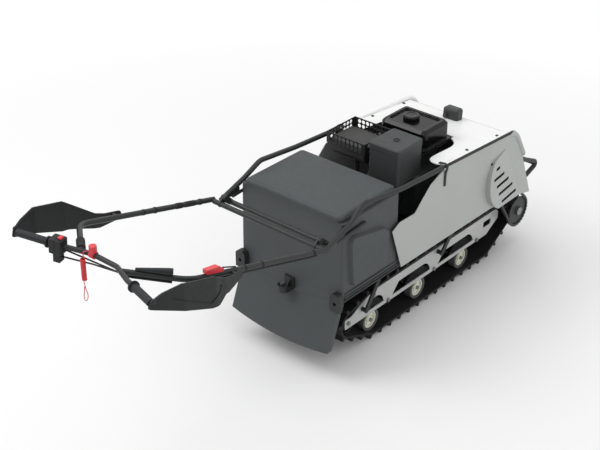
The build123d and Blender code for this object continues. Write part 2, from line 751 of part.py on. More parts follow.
# Trunk: an open drafted box on a rail, with a bulged pocket on each side
trunk_x = TRUNK_REAR + TRUNK_L / 2
lid_half = TRUNK_HALF - LID_INSET
with BuildPart() as trunk_body:
    with BuildSketch(Plane.XY.offset(TRUNK_TOP)):
        with Locations((trunk_x, 0)):
            RectangleRounded(TRUNK_L, 2 * TRUNK_HALF, TRUNK_R)
    extrude(amount=-TRUNK_H, taper=-TRUNK_DRAFT)
    with Locations((trunk_x + TRUNK_RAIL_OUT, 0, DECK_TOP)):
        Box(
            TRUNK_L,
            2 * (TRUNK_HALF + TRUNK_RAIL_OUT),
            TRUNK_LOW - DECK_TOP,
            align=(Align.CENTER, Align.CENTER, Align.MIN),
        )
    with Locations((trunk_x + TRUNK_RAIL_OUT, 0, TRUNK_LOW + TRUNK_BEAD_Z)):
        Box(
            TRUNK_L - TRUNK_RAIL_OUT,
            2 * (TRUNK_HALF + TRUNK_RAIL_OUT),
            TRUNK_BEAD,
            align=(Align.CENTER, Align.CENTER, Align.MIN),
        )
    for side in SIDES:
        with BuildSketch(Plane.XZ.offset(-side * (TRUNK_HALF - TRUNK_WALL))) as pocket:
            with BuildLine():
                Polyline(*POCKET_OUTLINE, close=True)
            make_face()
            fillet(pocket.vertices(), POCKET_R)
        extrude(amount=-side * (POCKET_OUT + TRUNK_WALL), taper=POCKET_TAPER)
    with BuildSketch(Plane.XY.offset(TRUNK_TOP)):
        with Locations((trunk_x, 0)):
            RectangleRounded(TRUNK_L - 2 * TRUNK_WALL, 2 * (lid_half - TRUNK_WALL), TRUNK_R - TRUNK_WALL)
    extrude(amount=TRUNK_WALL - TRUNK_H, taper=-TRUNK_DRAFT, mode=Mode.SUBTRACT)
save(trunk_body, "trunk_body")

# Lid: hinged on pins along the trunk's front edge
hinge_x = TRUNK_FRONT + KNUCKLE_OUT
hinge_z = TRUNK_TOP + LID_GAP + KNUCKLE_R / 2
lid_low = TRUNK_TOP + LID_GAP
knuckle_w = HINGE_W / 3 - HINGE_GAP
with BuildPart() as trunk_lid:
    with Locations((trunk_x, 0, lid_low)):
        Box(TRUNK_L, 2 * lid_half, LID_H, align=(Align.CENTER, Align.CENTER, Align.MIN))
    fillet(trunk_lid.edges().filter_by(Axis.Z), LID_CORNER)
    fillet(trunk_lid.edges().group_by(Axis.Z)[-1], LID_R)
    with Locations(*[(hinge_x, side * HINGE_Y, hinge_z) for side in SIDES]):
        Cylinder(KNUCKLE_R, knuckle_w, rotation=TURNED)
        Box(KNUCKLE_OUT + KNUCKLE_R, knuckle_w, KNUCKLE_R, align=(Align.MAX, Align.CENTER, Align.MIN))
        Cylinder(HINGE_PIN_R + PIN_CLEAR, HINGE_W, rotation=TURNED, mode=Mode.SUBTRACT)
save(trunk_lid, "trunk_lid")

leaf_reach = 2 * HINGE_LEAF * math.tan(math.radians(TRUNK_DRAFT))
leaf_x = TRUNK_FRONT + leaf_reach + SEAT
with BuildPart() as lid_hinges:
    for side in SIDES:
        with Locations((hinge_x, side * HINGE_Y, hinge_z)):
            Cylinder(HINGE_PIN_R, HINGE_W, rotation=TURNED)
        leaf_y = HINGE_W / 3 + HINGE_GAP / 2
        with Locations(*[(hinge_x, side * HINGE_Y + step * leaf_y, hinge_z) for step in SIDES]):
            Cylinder(KNUCKLE_R, knuckle_w, rotation=TURNED)
            Box(hinge_x - leaf_x, knuckle_w, HINGE_LEAF, align=(Align.MAX, Align.CENTER, Align.MAX))
        with Locations((leaf_x, side * HINGE_Y, hinge_z - KNUCKLE_R - HINGE_GAP)):
            Box(hinge_x - leaf_x, HINGE_W, HINGE_LEAF, align=(Align.MIN, Align.CENTER, Align.MAX))
save(lid_hinges, "lid_hinges")

# Rear apron: leans back below the deck, with flanged sides and a cone-shaped scoop round the hitch


def apron_block(shift, half):
    """The apron's full wedge less its scoop, moved forward by the shift, over the given half width."""
    face_x = APRON_FACE_X + shift
    top_z = TRUNK_LOW - APRON_SEAM
    with BuildSketch(Plane.XZ) as wedge_side:
        with BuildLine() as outline:
            Polyline(
                (face_x + APRON_T, top_z),
                (face_x, top_z),
                (face_x, APRON_BEND_Z),
                (face_x + APRON_T - APRON_OUT, APRON_LOW_Z),
                (face_x + APRON_T, APRON_LOW_Z),
                close=True,
            )
        make_face(outline.edges())
    wedge = extrude(wedge_side.sketch, amount=half, both=True, mode=Mode.PRIVATE)
    scoop_end = SCOOP_R + SCOOP_REACH * math.tan(math.radians(SCOOP_ANGLE))
    scoop = Location((face_x, 0, SCOOP_Z), (0, -90, 0)) * Cone(
        SCOOP_R,
        scoop_end,
        SCOOP_REACH,
        align=(Align.CENTER, Align.CENTER, Align.MIN),
        mode=Mode.PRIVATE,
    )
    return wedge - scoop


with BuildPart() as rear_apron:
    add(apron_block(0, APRON_HALF))
    add(apron_block(APRON_T, APRON_HALF - APRON_T), mode=Mode.SUBTRACT)
    add(apron_block(APRON_FLANGE, APRON_HALF), mode=Mode.SUBTRACT)
save(rear_apron, "rear_apron")

# Ears: rounded lugs on the apron with a hole for a tow bar
ear_x = APRON_FACE_X - SEAT
apron_lean = (APRON_OUT - APRON_T) / (APRON_BEND_Z - APRON_LOW_Z)
with BuildPart() as rear_ears:
    for side in SIDES:
        with BuildSketch(Plane.XZ.offset(-side * EAR_Y)):
            with BuildLine():
                Polyline(
                    (ear_x, EAR_TOP),
                    (ear_x - EAR_OUT, EAR_TOP),
                    (ear_x - EAR_OUT, EAR_LOW),
                    (ear_x - (APRON_BEND_Z - EAR_LOW) * apron_lean, EAR_LOW),
                    (ear_x, APRON_BEND_Z),
                    close=True,
                )
            make_face()
        extrude(amount=EAR_W / 2, both=True)
    fillet(rear_ears.edges().filter_by(Axis.X).group_by(Axis.Z)[-1], EAR_R)
    with Locations(*[(ear_x, side * EAR_Y, EAR_Z) for side in SIDES]):
        Cylinder(EAR_HOLE_R, 3 * EAR_OUT, rotation=(0, -90, 0), mode=Mode.SUBTRACT)
save(rear_ears, "rear_ears")

# Tow hitch: a tongue with an upright pin hole on a base plate, with a web and a turned-up lip
hitch_x = APRON_FACE_X - SEAT
hitch_eye_x = hitch_x - HITCH_OUT + HITCH_W / 2
tongue_top = HITCH_Z + HITCH_T
web_out = hitch_eye_x + 2 * HITCH_HOLE_R
with BuildPart() as tow_hitch:
    with Locations((hitch_x, 0, HITCH_Z)):
        Box(HITCH_T, HITCH_W, HITCH_PLATE_TOP - HITCH_Z, align=(Align.MAX, Align.CENTER, Align.MIN))
    with BuildSketch(Plane.XY.offset(HITCH_Z)):
        with Locations((hitch_x, 0)):
            Rectangle(HITCH_OUT - HITCH_W / 2, HITCH_W, align=(Align.MAX, Align.CENTER))
        with Locations((hitch_eye_x, 0)):
            Circle(HITCH_W / 2)
    extrude(amount=HITCH_T)
    with BuildSketch(Plane.XY.offset(tongue_top)):
        with Locations((hitch_eye_x, 0)):
            Circle(HITCH_W / 2)
            Circle(HITCH_W / 2 - HITCH_WEB, mode=Mode.SUBTRACT)
            Rectangle(HITCH_W, HITCH_W, align=(Align.MIN, Align.CENTER), mode=Mode.SUBTRACT)
    extrude(amount=HITCH_LIP)
    with BuildSketch(Plane.XZ):
        with BuildLine():
            Polyline((hitch_x, tongue_top), (hitch_x, HITCH_PLATE_TOP), (web_out, tongue_top), close=True)
        make_face()
    extrude(amount=HITCH_WEB / 2, both=True)
    with Locations((hitch_eye_x, 0, HITCH_Z)):
        Cylinder(HITCH_HOLE_R, 4 * HITCH_T, mode=Mode.SUBTRACT)
save(tow_hitch, "tow_hitch")

# Bodywork: the cage line sets the top edge of the side panels
panel_drop = TUBE_R + SEAT + NOSE_TUBE_GAP
run_front = Vector(*CAGE_RUN_FRONT)
top_run = (run_front - Vector(*CAGE_RUN_REAR)).normalized()
nose_run = (Vector(*CAGE_FRONT_END) - run_front).normalized()
under_top = Vector(top_run.Y, -top_run.X)
under_nose = Vector(nose_run.Y, -nose_run.X)
panel_corner = run_front + (under_top + under_nose) * (panel_drop / (1 + under_top.dot(under_nose)))
panel_top_rear = panel_corner - top_run * ((panel_corner.X - PANEL_TOP_REAR_X) / top_run.X)
NOSE_TOP = tuple(Vector(*CAGE_FRONT_END) + under_nose * panel_drop)[:2]


def front_edge():
    """The nose curve from the foot of the body up to the end of the cage tube."""
    return [NOSE_LOW, NOSE_MIDDLE, NOSE_TOP]


def pod_wedge(side, inset):
    """The louvred pod as a wedge that fades into the panel at its front, smaller by the inset all round."""
    with BuildSketch(Plane.XZ.offset(-side * PANEL_Y)) as foot:
        with BuildLine() as outline:
            ThreePointArc(*POD_REAR)
            Polyline(POD_REAR[-1], *POD_FADE, POD_REAR[0])
        make_face(outline.edges())
        if inset:
            offset(amount=-inset, kind=Kind.INTERSECTION, mode=Mode.REPLACE)
    tall = extrude(foot.sketch, amount=-side * (PANEL_T + 2 * POD_OUT), mode=Mode.PRIVATE)
    skin_y = PANEL_Y + PANEL_T
    low, high = [Vector(x, side * skin_y, z) for x, z in POD_FADE]
    crest = Vector(POD_REAR[1][0], side * (skin_y + POD_OUT), POD_REAR[1][1])
    out = (high - low).cross(crest - low).normalized()
    if out.Y * side < 0:
        out = out * -1
    return tall.split(Plane(low - out * inset, z_dir=out), keep=Keep.BOTTOM)


def side_panel(side):
    """One flat side panel with its louvred pod."""
    with BuildSketch(Plane.XZ.offset(-side * PANEL_Y)) as sheet:
        with BuildLine() as outline:
            Polyline(tuple(panel_top_rear)[:2], *PANEL_REAR_EDGE, *PANEL_FOOT, NOSE_LOW)
            ThreePointArc(*front_edge())
            FilletPolyline(
                NOSE_TOP,
                tuple(panel_corner)[:2],
                tuple(panel_top_rear)[:2],
                radius=CAGE_NOSE_R - panel_drop,
            )
        make_face(outline.edges())
    extrude(sheet.sketch, amount=-side * PANEL_T)
    add(pod_wedge(side, 0))
    add(pod_wedge(side, POD_T), mode=Mode.SUBTRACT)
    with BuildSketch(Plane.XZ.offset(-side * PANEL_Y)) as slots:
        for rear, front, z in POD_SLOTS:
            with Locations(((rear + front) / 2, z)):
                SlotOverall(front - rear, SLOT_W)
    extrude(slots.sketch, amount=-side * (PANEL_T + 2 * POD_OUT), mode=Mode.SUBTRACT)


with BuildPart() as side_panel_right:
    side_panel(-1)
save(side_panel_right, "side_panel_right")

with BuildPart() as side_panel_left:
    side_panel(1)
save(side_panel_left, "side_panel_left")

hood_back = Vector(-math.cos(math.radians(HOOD_SLOPE)), 0, math.sin(math.radians(HOOD_SLOPE)))
hood_up = Vector(math.sin(math.radians(HOOD_SLOPE)), 0, math.cos(math.radians(HOOD_SLOPE)))
hood_plane = Plane((HOOD_FRONT_X, 0, HOOD_FRONT_Z), x_dir=hood_back, z_dir=hood_up)

with BuildPart() as hood_top:
    with BuildSketch(hood_plane) as hood_sheet:
        Rectangle(HOOD_L, 2 * HOOD_HALF, align=(Align.MIN, Align.CENTER))
        with Locations((HOOD_L + HOOD_CUT_R, 0)):
            RectangleRounded(
                HOOD_CUT_L + HOOD_CUT_R,
                2 * HOOD_CUT_HALF,
                HOOD_CUT_R,
                align=(Align.MAX, Align.CENTER),
                mode=Mode.SUBTRACT,
            )
        fillet(hood_sheet.vertices().group_by(Axis.X)[-1], HOOD_TIP_R)
    extrude(amount=-HOOD_T)
save(hood_top, "hood_top")

with BuildPart() as front_fascia:
    with BuildSketch(Plane.XZ) as nose:
        with BuildLine() as outline:
            ThreePointArc(*front_edge())
            ThreePointArc(NOSE_TOP, NOSE_CROWN, (HOOD_FRONT_X + HOOD_SEAM, HOOD_FRONT_Z))
            offset(amount=FASCIA_T, side=Side.LEFT)
        make_face()
    extrude(amount=PANEL_Y - SEAT, both=True)
    # Notches for the front ends of the cage tubes
    for side in SIDES:
        with Locations((NOSE_LOW[0], side * HOOD_HALF, NOSE_NOTCH_Z)):
            Box(
                NOSE_LOW[0] - HOOD_FRONT_X + HOOD_CUT_R,
                PANEL_Y - HOOD_HALF,
                HOOD_FRONT_Z - NOSE_NOTCH_Z + HOOD_CUT_R,
                align=(Align.MAX, Align.MIN if side > 0 else Align.MAX, Align.MIN),
                mode=Mode.SUBTRACT,
            )
save(front_fascia, "front_fascia")

# Head lamp on the hood and its lens
lamp_seat = hood_plane.offset(SEAT)
gland_spot = lamp_seat.from_local_coords((LAMP_BACK + LAMP_D, GLAND_Y, GLAND_Z))
with BuildPart() as headlamp:
    with BuildSketch(lamp_seat) as lamp_foot:
        with Locations((LAMP_BACK, 0)):
            Rectangle(LAMP_D, LAMP_W, align=(Align.MIN, Align.CENTER))
        chamfer(lamp_foot.vertices(), LAMP_EDGE)
    extrude(amount=LAMP_H)
    chamfer(headlamp.faces().sort_by(Axis.Z)[-1].edges(), LAMP_EDGE)
    with Locations(Plane(gland_spot, z_dir=hood_back)):
        Cylinder(GLAND_R, GLAND_L, align=(Align.CENTER, Align.CENTER, Align.MIN))
save(headlamp, "headlamp")

with BuildPart() as headlamp_lens:
    with BuildSketch(lamp_seat.offset(LENS_T)):
        with Locations((LAMP_BACK - SEAT, 0)):
            Rectangle(LENS_T, LAMP_W - 4 * LENS_T, align=(Align.MAX, Align.CENTER))
    extrude(amount=LAMP_H - 2 * LENS_T)
save(headlamp_lens, "headlamp_lens")

# Front bumper: a bar across the nose on two bent legs
with BuildPart() as front_bumper:
    with Locations((BUMPER_TIP[0] - BUMPER_BAR_BACK, 0, BUMPER_TIP[1])):
        Cylinder(TUBE_R, 2 * BUMPER_HALF, rotation=TURNED)
    for side in SIDES:
        leg_y = BUMPER_HALF + TUBE_R + SEAT
        route = [(x, leg_y, z) for x, z in BUMPER_LEG]
        tube(on_side(side, route), BUMPER_LEG_R, TUBE_R)
    # The legs end on the nose
    with BuildSketch(Plane.XZ):
        with BuildLine():
            nose_face = ThreePointArc(*[(x + SEAT, z) for x, z in front_edge()])
            Polyline(nose_face @ 1, (DECK_REAR, NOSE_TOP[1]), (DECK_REAR, NOSE_LOW[1]), nose_face @ 0)
        make_face()
    extrude(amount=PANEL_Y, both=True, mode=Mode.SUBTRACT)
save(front_bumper, "front_bumper")

# Cage: a bent tube along each side and a cross tube with the handlebar's hinge ears
cage_line = [(x, CAGE_Y, z) for x, z in (CAGE_FRONT_END, CAGE_RUN_FRONT, CAGE_RUN_REAR)]
cage_line += [(CAGE_TOP[0], CAGE_TOP_Y, CAGE_TOP[1])]
cage_line += [(x, CAGE_Y, z) for x, z in (CAGE_DROP, CAGE_REAR_END)]
with BuildPart() as cage_tubes:
    for side in SIDES:
        tube(on_side(side, cage_line), CAGE_BENDS, TUBE_R)
save(cage_tubes, "cage_tubes")


def hinge_ear(foot, y):
    """A flat ear from a cross tube to the hinge pin, centred at the given Y."""
    with BuildSketch(Plane.XZ.offset(-y)) as ear:
        with Locations(foot, (PIVOT_X, PIVOT_Z)):
            Circle(HINGE_EAR_R)
        make_hull(ear.sketch_local.edges())
    extrude(ear.sketch, amount=HINGE_EAR_T / 2, both=True)


ear_step = HINGE_EAR_T + HINGE_GAP
strut_y = TRUNK_HALF + STRUT_R + STRUT_SEAM
with BuildPart() as cage_cross:
    with Locations((CAGE_CROSS[0], 0, CAGE_CROSS[1])):
        Cylinder(TUBE_R, 2 * (CAGE_Y - TUBE_R - SEAT), rotation=TURNED)
    for side in SIDES:
        for step in (-ear_step, ear_step):
            hinge_ear(CAGE_CROSS, side * HINGE_EAR_Y + step)
    with Locations(*[(PIVOT_X, side * HINGE_EAR_Y, PIVOT_Z) for side in SIDES]):
        Cylinder(PIN_R, 3 * HINGE_EAR_T, rotation=TURNED)
    # Lower struts under the cage tubes to the sides of the trunk, each on a gusset
    for side in SIDES:
        tube(on_side(side, [(x, strut_y, z) for x, z in STRUT_ROUTE]), 0, STRUT_R)
        with BuildSketch(Plane.XZ.offset(-side * strut_y)):
            with BuildLine():
                Polyline(*GUSSET, close=True)
            make_face()
        extrude(amount=GUSSET_T / 2, both=True)
save(cage_cross, "cage_cross")

# Handlebar: two arms from a cross tube, bent in to a bar with grips
half_bar = [GRIP_END, GRIP_BEND, BAR_BEND]
bar_line = half_bar + on_side(-1, half_bar)[::-1]
grip_dir = (Vector(*GRIP_BEND) - Vector(*GRIP_END)).normalized()
bar_dir = (Vector(*GRIP_BEND) - Vector(*BAR_BEND)).normalized()
arm_joint = Vector(*BAR_BEND) + bar_dir * ARM_JOINT_AT
arm_start = Vector(BAR_CROSS[0] + TUBE_R, ARM_Y, BAR_CROSS[1])
apex = Vector(*ARM_APEX)
arm_end = arm_joint + (apex - arm_joint).normalized() * ARM_COPE
arm_line = [tuple(point) for point in (arm_start, apex, arm_end)]


def arm_at(x):
    """The middle of the left arm's long run at the given X."""
    return arm_start + (apex - arm_start) * ((x - arm_start.X) / (apex.X - arm_start.X))


with BuildPart() as handlebar_arms:
    with Locations((BAR_CROSS[0], 0, BAR_CROSS[1])):
        Cylinder(TUBE_R, 2 * (ARM_Y - TUBE_R - ARM_SEAM), rotation=TURNED)
    for side in SIDES:
        hinge_ear(BAR_CROSS, side * HINGE_EAR_Y)
    with Locations(*[(PIVOT_X, side * HINGE_EAR_Y, PIVOT_Z) for side in SIDES]):
        Cylinder(PIN_R + PIN_CLEAR, 4 * HINGE_EAR_T, rotation=TURNED, mode=Mode.SUBTRACT)
    for side in SIDES:
        tube(on_side(side, arm_line), ARM_BEND, TUBE_R)
    # The arms are coped to fit the bar
    tube(bar_line, BAR_RADII, BAR_R + SEAT, mode=Mode.SUBTRACT)
save(handlebar_arms, "handlebar_arms")

with BuildPart() as handlebar:
    tube(bar_line, BAR_RADII, BAR_R)
save(handlebar, "handlebar")

with BuildPart() as grips:
    for side in SIDES:
        end, inner = [Vector(*point) for point in on_side(side, [GRIP_END, GRIP_BEND])]
        along = (inner - end).normalized()
        with Locations(Plane(end - along * GRIP_CAP, z_dir=along)):
            Cylinder(GRIP_R, GRIP_L, align=(Align.CENTER, Align.CENTER, Align.MIN))
        with Locations(Plane(end + along * (GRIP_L - GRIP_CAP), z_dir=along)):
            Cylinder(FLANGE_R, GRIP_CAP, align=(Align.CENTER, Align.CENTER, Align.MAX))
        with Locations(Plane(end - along * SEAT, z_dir=along)):
            Cylinder(
                BAR_R + SEAT,
                2 * GRIP_L,
                align=(Align.CENTER, Align.CENTER, Align.MIN),
                mode=Mode.SUBTRACT,
            )
save(grips, "grips")

# Ribbed sleeve on the left arm behind the bar, and a tapered plug on the right arm
toward = (apex - arm_joint).normalized()
joint_right, toward_right = [Vector(*point) for point in on_side(-1, [tuple(arm_joint), tuple(toward)])]
over_right = (Vector(0, 0, 1) - toward_right * toward_right.Z).normalized()
rib_step = SLEEVE_L / SLEEVE_RIBS
rib_first = SLEEVE_AT - (SLEEVE_L - rib_step) / 2
plug_ends = [
    joint_right + toward_right * at + over_right * (TUBE_R + SEAT + radius)
    for at, radius in zip(PLUG_AT, PLUG_R)
]
plug_run = plug_ends[1] - plug_ends[0]
with BuildPart() as arm_sleeves:
    with Locations(Plane(arm_joint + toward * SLEEVE_AT, z_dir=toward)):
        Cylinder(SLEEVE_R, SLEEVE_L)
    for i in range(SLEEVE_RIBS):
        with Locations(Plane(arm_joint + toward * (rib_first + i * rib_step), z_dir=toward)):
            Cylinder(SLEEVE_R + SLEEVE_RIB, rib_step / 2)
    with Locations(Plane(arm_joint + toward * SLEEVE_AT, z_dir=toward)):
        Cylinder(TUBE_R + SEAT, 2 * SLEEVE_L, mode=Mode.SUBTRACT)
    with Locations(Plane(plug_ends[0], z_dir=plug_run)):
        Cone(*PLUG_R, plug_run.length, align=(Align.CENTER, Align.CENTER, Align.MIN))
    with Locations(Plane(plug_ends[1], z_dir=plug_run)):
        Cylinder(PLUG_R[1], PLUG_CAP, align=(Align.CENTER, Align.CENTER, Align.MIN))
save(arm_sleeves, "arm_sleeves")

# Hand guards: bent sheets from the grip ends along the arms, cut to a side outline, with a raised rim


def guard_sheet(side, thick, face):
    """The guard's bend seen from above, thickened from its plan line towards the given face."""
    with BuildSketch(Plane.XY.offset(GUARD_LOW)) as plan:
        with BuildLine() as bend:
            FilletPolyline(*[(x, side * y) for x, y in GUARD_PLAN], radius=GUARD_BEND)
            offset(amount=thick, side=face)
        make_face(bend.edges())
    return extrude(plan.sketch, amount=GUARD_HIGH - GUARD_LOW, mode=Mode.PRIVATE)


def guard_cut(side, points):
    """A block across one side with the given outline seen from the side."""
    with BuildSketch(Plane.XZ) as profile:
        with BuildLine() as outline:
            Polyline(*points, close=True)
        make_face(outline.edges())
        fillet(profile.vertices(), GUARD_CORNER)
    return extrude(profile.sketch, amount=-side * 2 * ARM_Y, mode=Mode.PRIVATE)


def hand_guard(side):
    """One guard with its rim, its post on the arm and its boss on the grip's end."""
    inward, outward = (Side.RIGHT, Side.LEFT) if side > 0 else (Side.LEFT, Side.RIGHT)
    whole = guard_cut(side, GUARD_SIDE)
    add(guard_sheet(side, GUARD_T, inward) & whole)
    add((guard_sheet(side, GUARD_RIM_OUT, outward) & whole) - guard_cut(side, GUARD_FIELD))
    post = arm_at(GUARD_POST_X)
    post_y = post.Y + TUBE_R + 2 * SEAT
    with Locations((post.X, side * post_y, post.Z)):
        Cylinder(
            GUARD_POST_R,
            GUARD_POST_END - post_y,
            rotation=(-side * 90, 0, 0),
            align=(Align.CENTER, Align.CENTER, Align.MIN),
        )
    end, inner = [Vector(*point) for point in on_side(side, [GRIP_END, GRIP_BEND])]
    out = (end - inner).normalized()
    with Locations(Plane(end + out * (GRIP_CAP + SEAT), z_dir=out)):
        Cylinder(GUARD_POST_R, GUARD_BOSS, align=(Align.CENTER, Align.CENTER, Align.MIN))


with BuildPart() as hand_guards:
    for side in SIDES:
        hand_guard(side)
save(hand_guards, "hand_guards")

# Shift lever on the right arm
lever_foot = Vector(*on_side(-1, [tuple(arm_at(LEVER_X))])[0])
lever_dir = Vector(*on_side(-1, [tuple((apex - arm_start).normalized())])[0])
lever_plane = Plane(lever_foot, x_dir=lever_dir, z_dir=lever_dir.cross(Vector(0, 0, 1)))
lever_seat = TUBE_R + SEAT
with BuildPart() as shift_lever:
    with BuildSketch(lever_plane):
        with BuildLine():
            Polyline(*[(along, lever_seat + up) for along, up in LEVER_SIDE], close=True)
        make_face()
    extrude(amount=LEVER_T / 2, both=True)
save(shift_lever, "shift_lever")

# Switch box in two halves with a clamp, its cables, the harness under the right arm and the lever's rod
switch_at = Vector(*GRIP_END) + grip_dir * SWITCH_AT
switch_plane = Plane(switch_at, x_dir=grip_dir.cross(Vector(0, 0, 1)), z_dir=grip_dir)


def under_arm(along, aside):
    """A spot under the right arm's bent end for a cable, so far along it and aside from its middle."""
    across = toward_right.cross(over_right)
    return joint_right + toward_right * along - over_right * (TUBE_R + CABLE_R + SEAT) + across * aside


with BuildPart() as switch_box:
    with Locations(switch_plane):
        Box(SWITCH_D, SWITCH_H, SWITCH_W)
    fillet(switch_box.edges(), SWITCH_EDGE)
    with Locations(switch_plane):
        Box(SWITCH_D, SWITCH_H, SWITCH_SEAM, mode=Mode.SUBTRACT)
        Box(SWITCH_D - 2 * SWITCH_SEAM, SWITCH_H - 2 * SWITCH_SEAM, SWITCH_SEAM)
        Box(CLAMP_D, SWITCH_H / 2 + CLAMP_H, CLAMP_W, align=(Align.CENTER, Align.MIN, Align.CENTER))
    tube(bar_line, BAR_RADII, BAR_R + SEAT, mode=Mode.SUBTRACT)
    for i, route in enumerate(CABLES):
        spots = [tuple(under_arm(along, i * CABLE_STEP)) for along in CABLE_ON_ARM]
        tube(route + spots, CABLE_BEND, CABLE_R)
    harness_run = [
        lever_plane.from_local_coords(((x - LEVER_X) / lever_dir.X, -TUBE_R - SEAT - HARNESS_R, 0))
        for x in (HARNESS_FRONT, HARNESS_REAR)
    ]
    tube(harness_run, 0, HARNESS_R)
    rod_run = [(-SEAT - LEVER_ROD_R, lever_seat + LEVER_ROD_UP, 0), (-LEVER_ROD_L, lever_seat + LEVER_ROD_R, 0)]
    tube([lever_plane.from_local_coords(spot) for spot in rod_run], 0, LEVER_ROD_R)
save(switch_box, "switch_box")

# Red parts of the controls: the rocker on the switch box and the stop switch on its ring round the bar
with BuildPart() as stop_switch:
    with Locations((BAR_BEND[0], STOP_Y, BAR_BEND[2])):
        Cylinder(STOP_RING, STOP_W, rotation=TURNED)
        Cylinder(STOP_R, STOP_H, align=(Align.CENTER, Align.CENTER, Align.MIN))
    tube(bar_line, BAR_RADII, BAR_R + SEAT, mode=Mode.SUBTRACT)
    with BuildSketch(switch_plane.offset(SWITCH_W / 4)):
        with Locations((0, -SWITCH_H / 2 - SEAT)):
            RectangleRounded(ROCKER_W, ROCKER_OUT, ROCKER_OUT / 4, align=(Align.CENTER, Align.MAX))
    extrude(amount=ROCKER_D / 2, both=True)
save(stop_switch, "stop_switch")

# Curly lanyard with its lead from the stop switch, and its clip
lead_z = BAR_BEND[2] + STOP_H - STOP_R
clip_top = LANYARD_TOP - LANYARD_L
with BuildPart() as lanyard_coil:
    with Locations((LANYARD_X, LANYARD_Y, LANYARD_TOP)):
        Cylinder(LANYARD_R, LANYARD_L, align=(Align.CENTER, Align.CENTER, Align.MAX))
    lead = [
        (BAR_BEND[0] - STOP_R - LANYARD_LEAD_R, STOP_Y, lead_z),
        (LANYARD_X, LANYARD_Y, lead_z),
        (LANYARD_X, LANYARD_Y, LANYARD_TOP - LANYARD_LEAD_BEND),
    ]
    tube(lead, LANYARD_LEAD_BEND, LANYARD_LEAD_R)
save(lanyard_coil, "lanyard_coil")

with BuildPart() as lanyard_clip:
    with BuildSketch(Plane.XZ.offset(-LANYARD_Y)):
        with Locations((LANYARD_X, clip_top)):
            Rectangle(CLIP_SHANK_W, CLIP_SHANK_L, align=(Align.CENTER, Align.MAX))
        with Locations((LANYARD_X, clip_top - CLIP_SHANK_L - CLIP_L / 2)):
            SlotOverall(CLIP_L + CLIP_WIRE, CLIP_W, rotation=90)
            SlotOverall(CLIP_L - CLIP_WIRE, CLIP_W - 2 * CLIP_WIRE, rotation=90, mode=Mode.SUBTRACT)
    extrude(amount=CLIP_WIRE / 2, both=True)
save(lanyard_clip, "lanyard_clip")

# Engine: crankcase, inclined finned cylinder, tank, air box and muffler with its guard
engine_x = (ENGINE_X0 + ENGINE_X1) / 2
with BuildPart() as engine_block:
    with Locations((engine_x, 0, DECK_TOP)):
        Box(
            ENGINE_X1 - ENGINE_X0,
            2 * ENGINE_HALF,
            ENGINE_TOP - DECK_TOP,
            align=(Align.CENTER, Align.CENTER, Align.MIN),
        )
    fillet(engine_block.edges().filter_by(Axis.Y), ENGINE_R)
    with Locations((engine_x, 0, ENGINE_TOP)):
        Box(
            ENGINE_X1 - ENGINE_X0 - 2 * NECK_INSET,
            2 * (ENGINE_HALF - NECK_INSET),
            TANK_LOW - ENGINE_TOP,
            align=(Align.CENTER, Align.CENTER, Align.MIN),
        )
save(engine_block, "engine_block")

barrel_half = FIN_W / 2 - FIN_OUT
barrel_l = FIN_COUNT * FIN_PITCH + HEAD_L
fins_end = FIN_FIRST + (FIN_COUNT - 1) * FIN_PITCH + FIN_T
tilt = math.radians(CYLINDER_TILT)
cylinder_dir = Vector(-math.cos(tilt), 0, math.sin(tilt))
cylinder_foot = Vector(ENGINE_X0 - SEAT, 0, CYLINDER_Z)
port = cylinder_foot + cylinder_dir * (fins_end + barrel_l) / 2
with BuildPart() as engine_cylinder:
    with BuildSketch(Plane(cylinder_foot, x_dir=(0, 1, 0), z_dir=cylinder_dir)):
        Rectangle(2 * barrel_half, 2 * barrel_half)
    extrude(amount=barrel_l)
    for i in range(FIN_COUNT):
        foot = cylinder_foot + cylinder_dir * (FIN_FIRST + i * FIN_PITCH)
        with BuildSketch(Plane(foot, x_dir=(0, 1, 0), z_dir=cylinder_dir)):
            Rectangle(FIN_W, FIN_W)
        extrude(amount=FIN_T)
    split(bisect_by=Plane((ENGINE_X0 - SEAT, 0, 0), z_dir=(-1, 0, 0)), keep=Keep.TOP)
save(engine_cylinder, "engine_cylinder")

tank_x = (TANK_X0 + TANK_X1) / 2
tank_l = TANK_X1 - TANK_X0
tank_edge = TANK_SHOULDER + TANK_RIM_W
with BuildPart() as fuel_tank:
    with Locations((tank_x, 0, TANK_LOW)):
        Box(tank_l, 2 * TANK_HALF, TANK_H, align=(Align.CENTER, Align.CENTER, Align.MIN))
    fillet(fuel_tank.edges().filter_by(Axis.Z), TANK_R)
    chamfer(fuel_tank.edges().group_by(Axis.Z)[-1], TANK_SHOULDER)
    with BuildSketch(Plane.XY.offset(TANK_TOP)):
        with Locations((tank_x, 0)):
            RectangleRounded(tank_l - 2 * tank_edge, 2 * (TANK_HALF - tank_edge), TANK_R - TANK_SHOULDER)
    extrude(amount=-TANK_RECESS, mode=Mode.SUBTRACT)
    # Double flange round the foot
    for step in (0, 1):
        with BuildSketch(Plane.XY.offset(TANK_LOW + step * TANK_RIM)):
            with Locations((tank_x, 0)):
                RectangleRounded(tank_l + 2 * TANK_RIM, 2 * (TANK_HALF + TANK_RIM), TANK_R)
        extrude(amount=TANK_RIM / 2)
save(fuel_tank, "fuel_tank")

with BuildPart() as fuel_cap:
    with BuildSketch(Plane.XY.offset(TANK_TOP - TANK_RECESS + SEAT)):
        with Locations((tank_x, CAP_Y)):
            RegularPolygon(CAP_R, CAP_SIDES)
    extrude(amount=TANK_RECESS + CAP_H)
    chamfer(fuel_cap.edges().group_by(Axis.Z)[-1], CAP_EDGE)
save(fuel_cap, "fuel_cap")


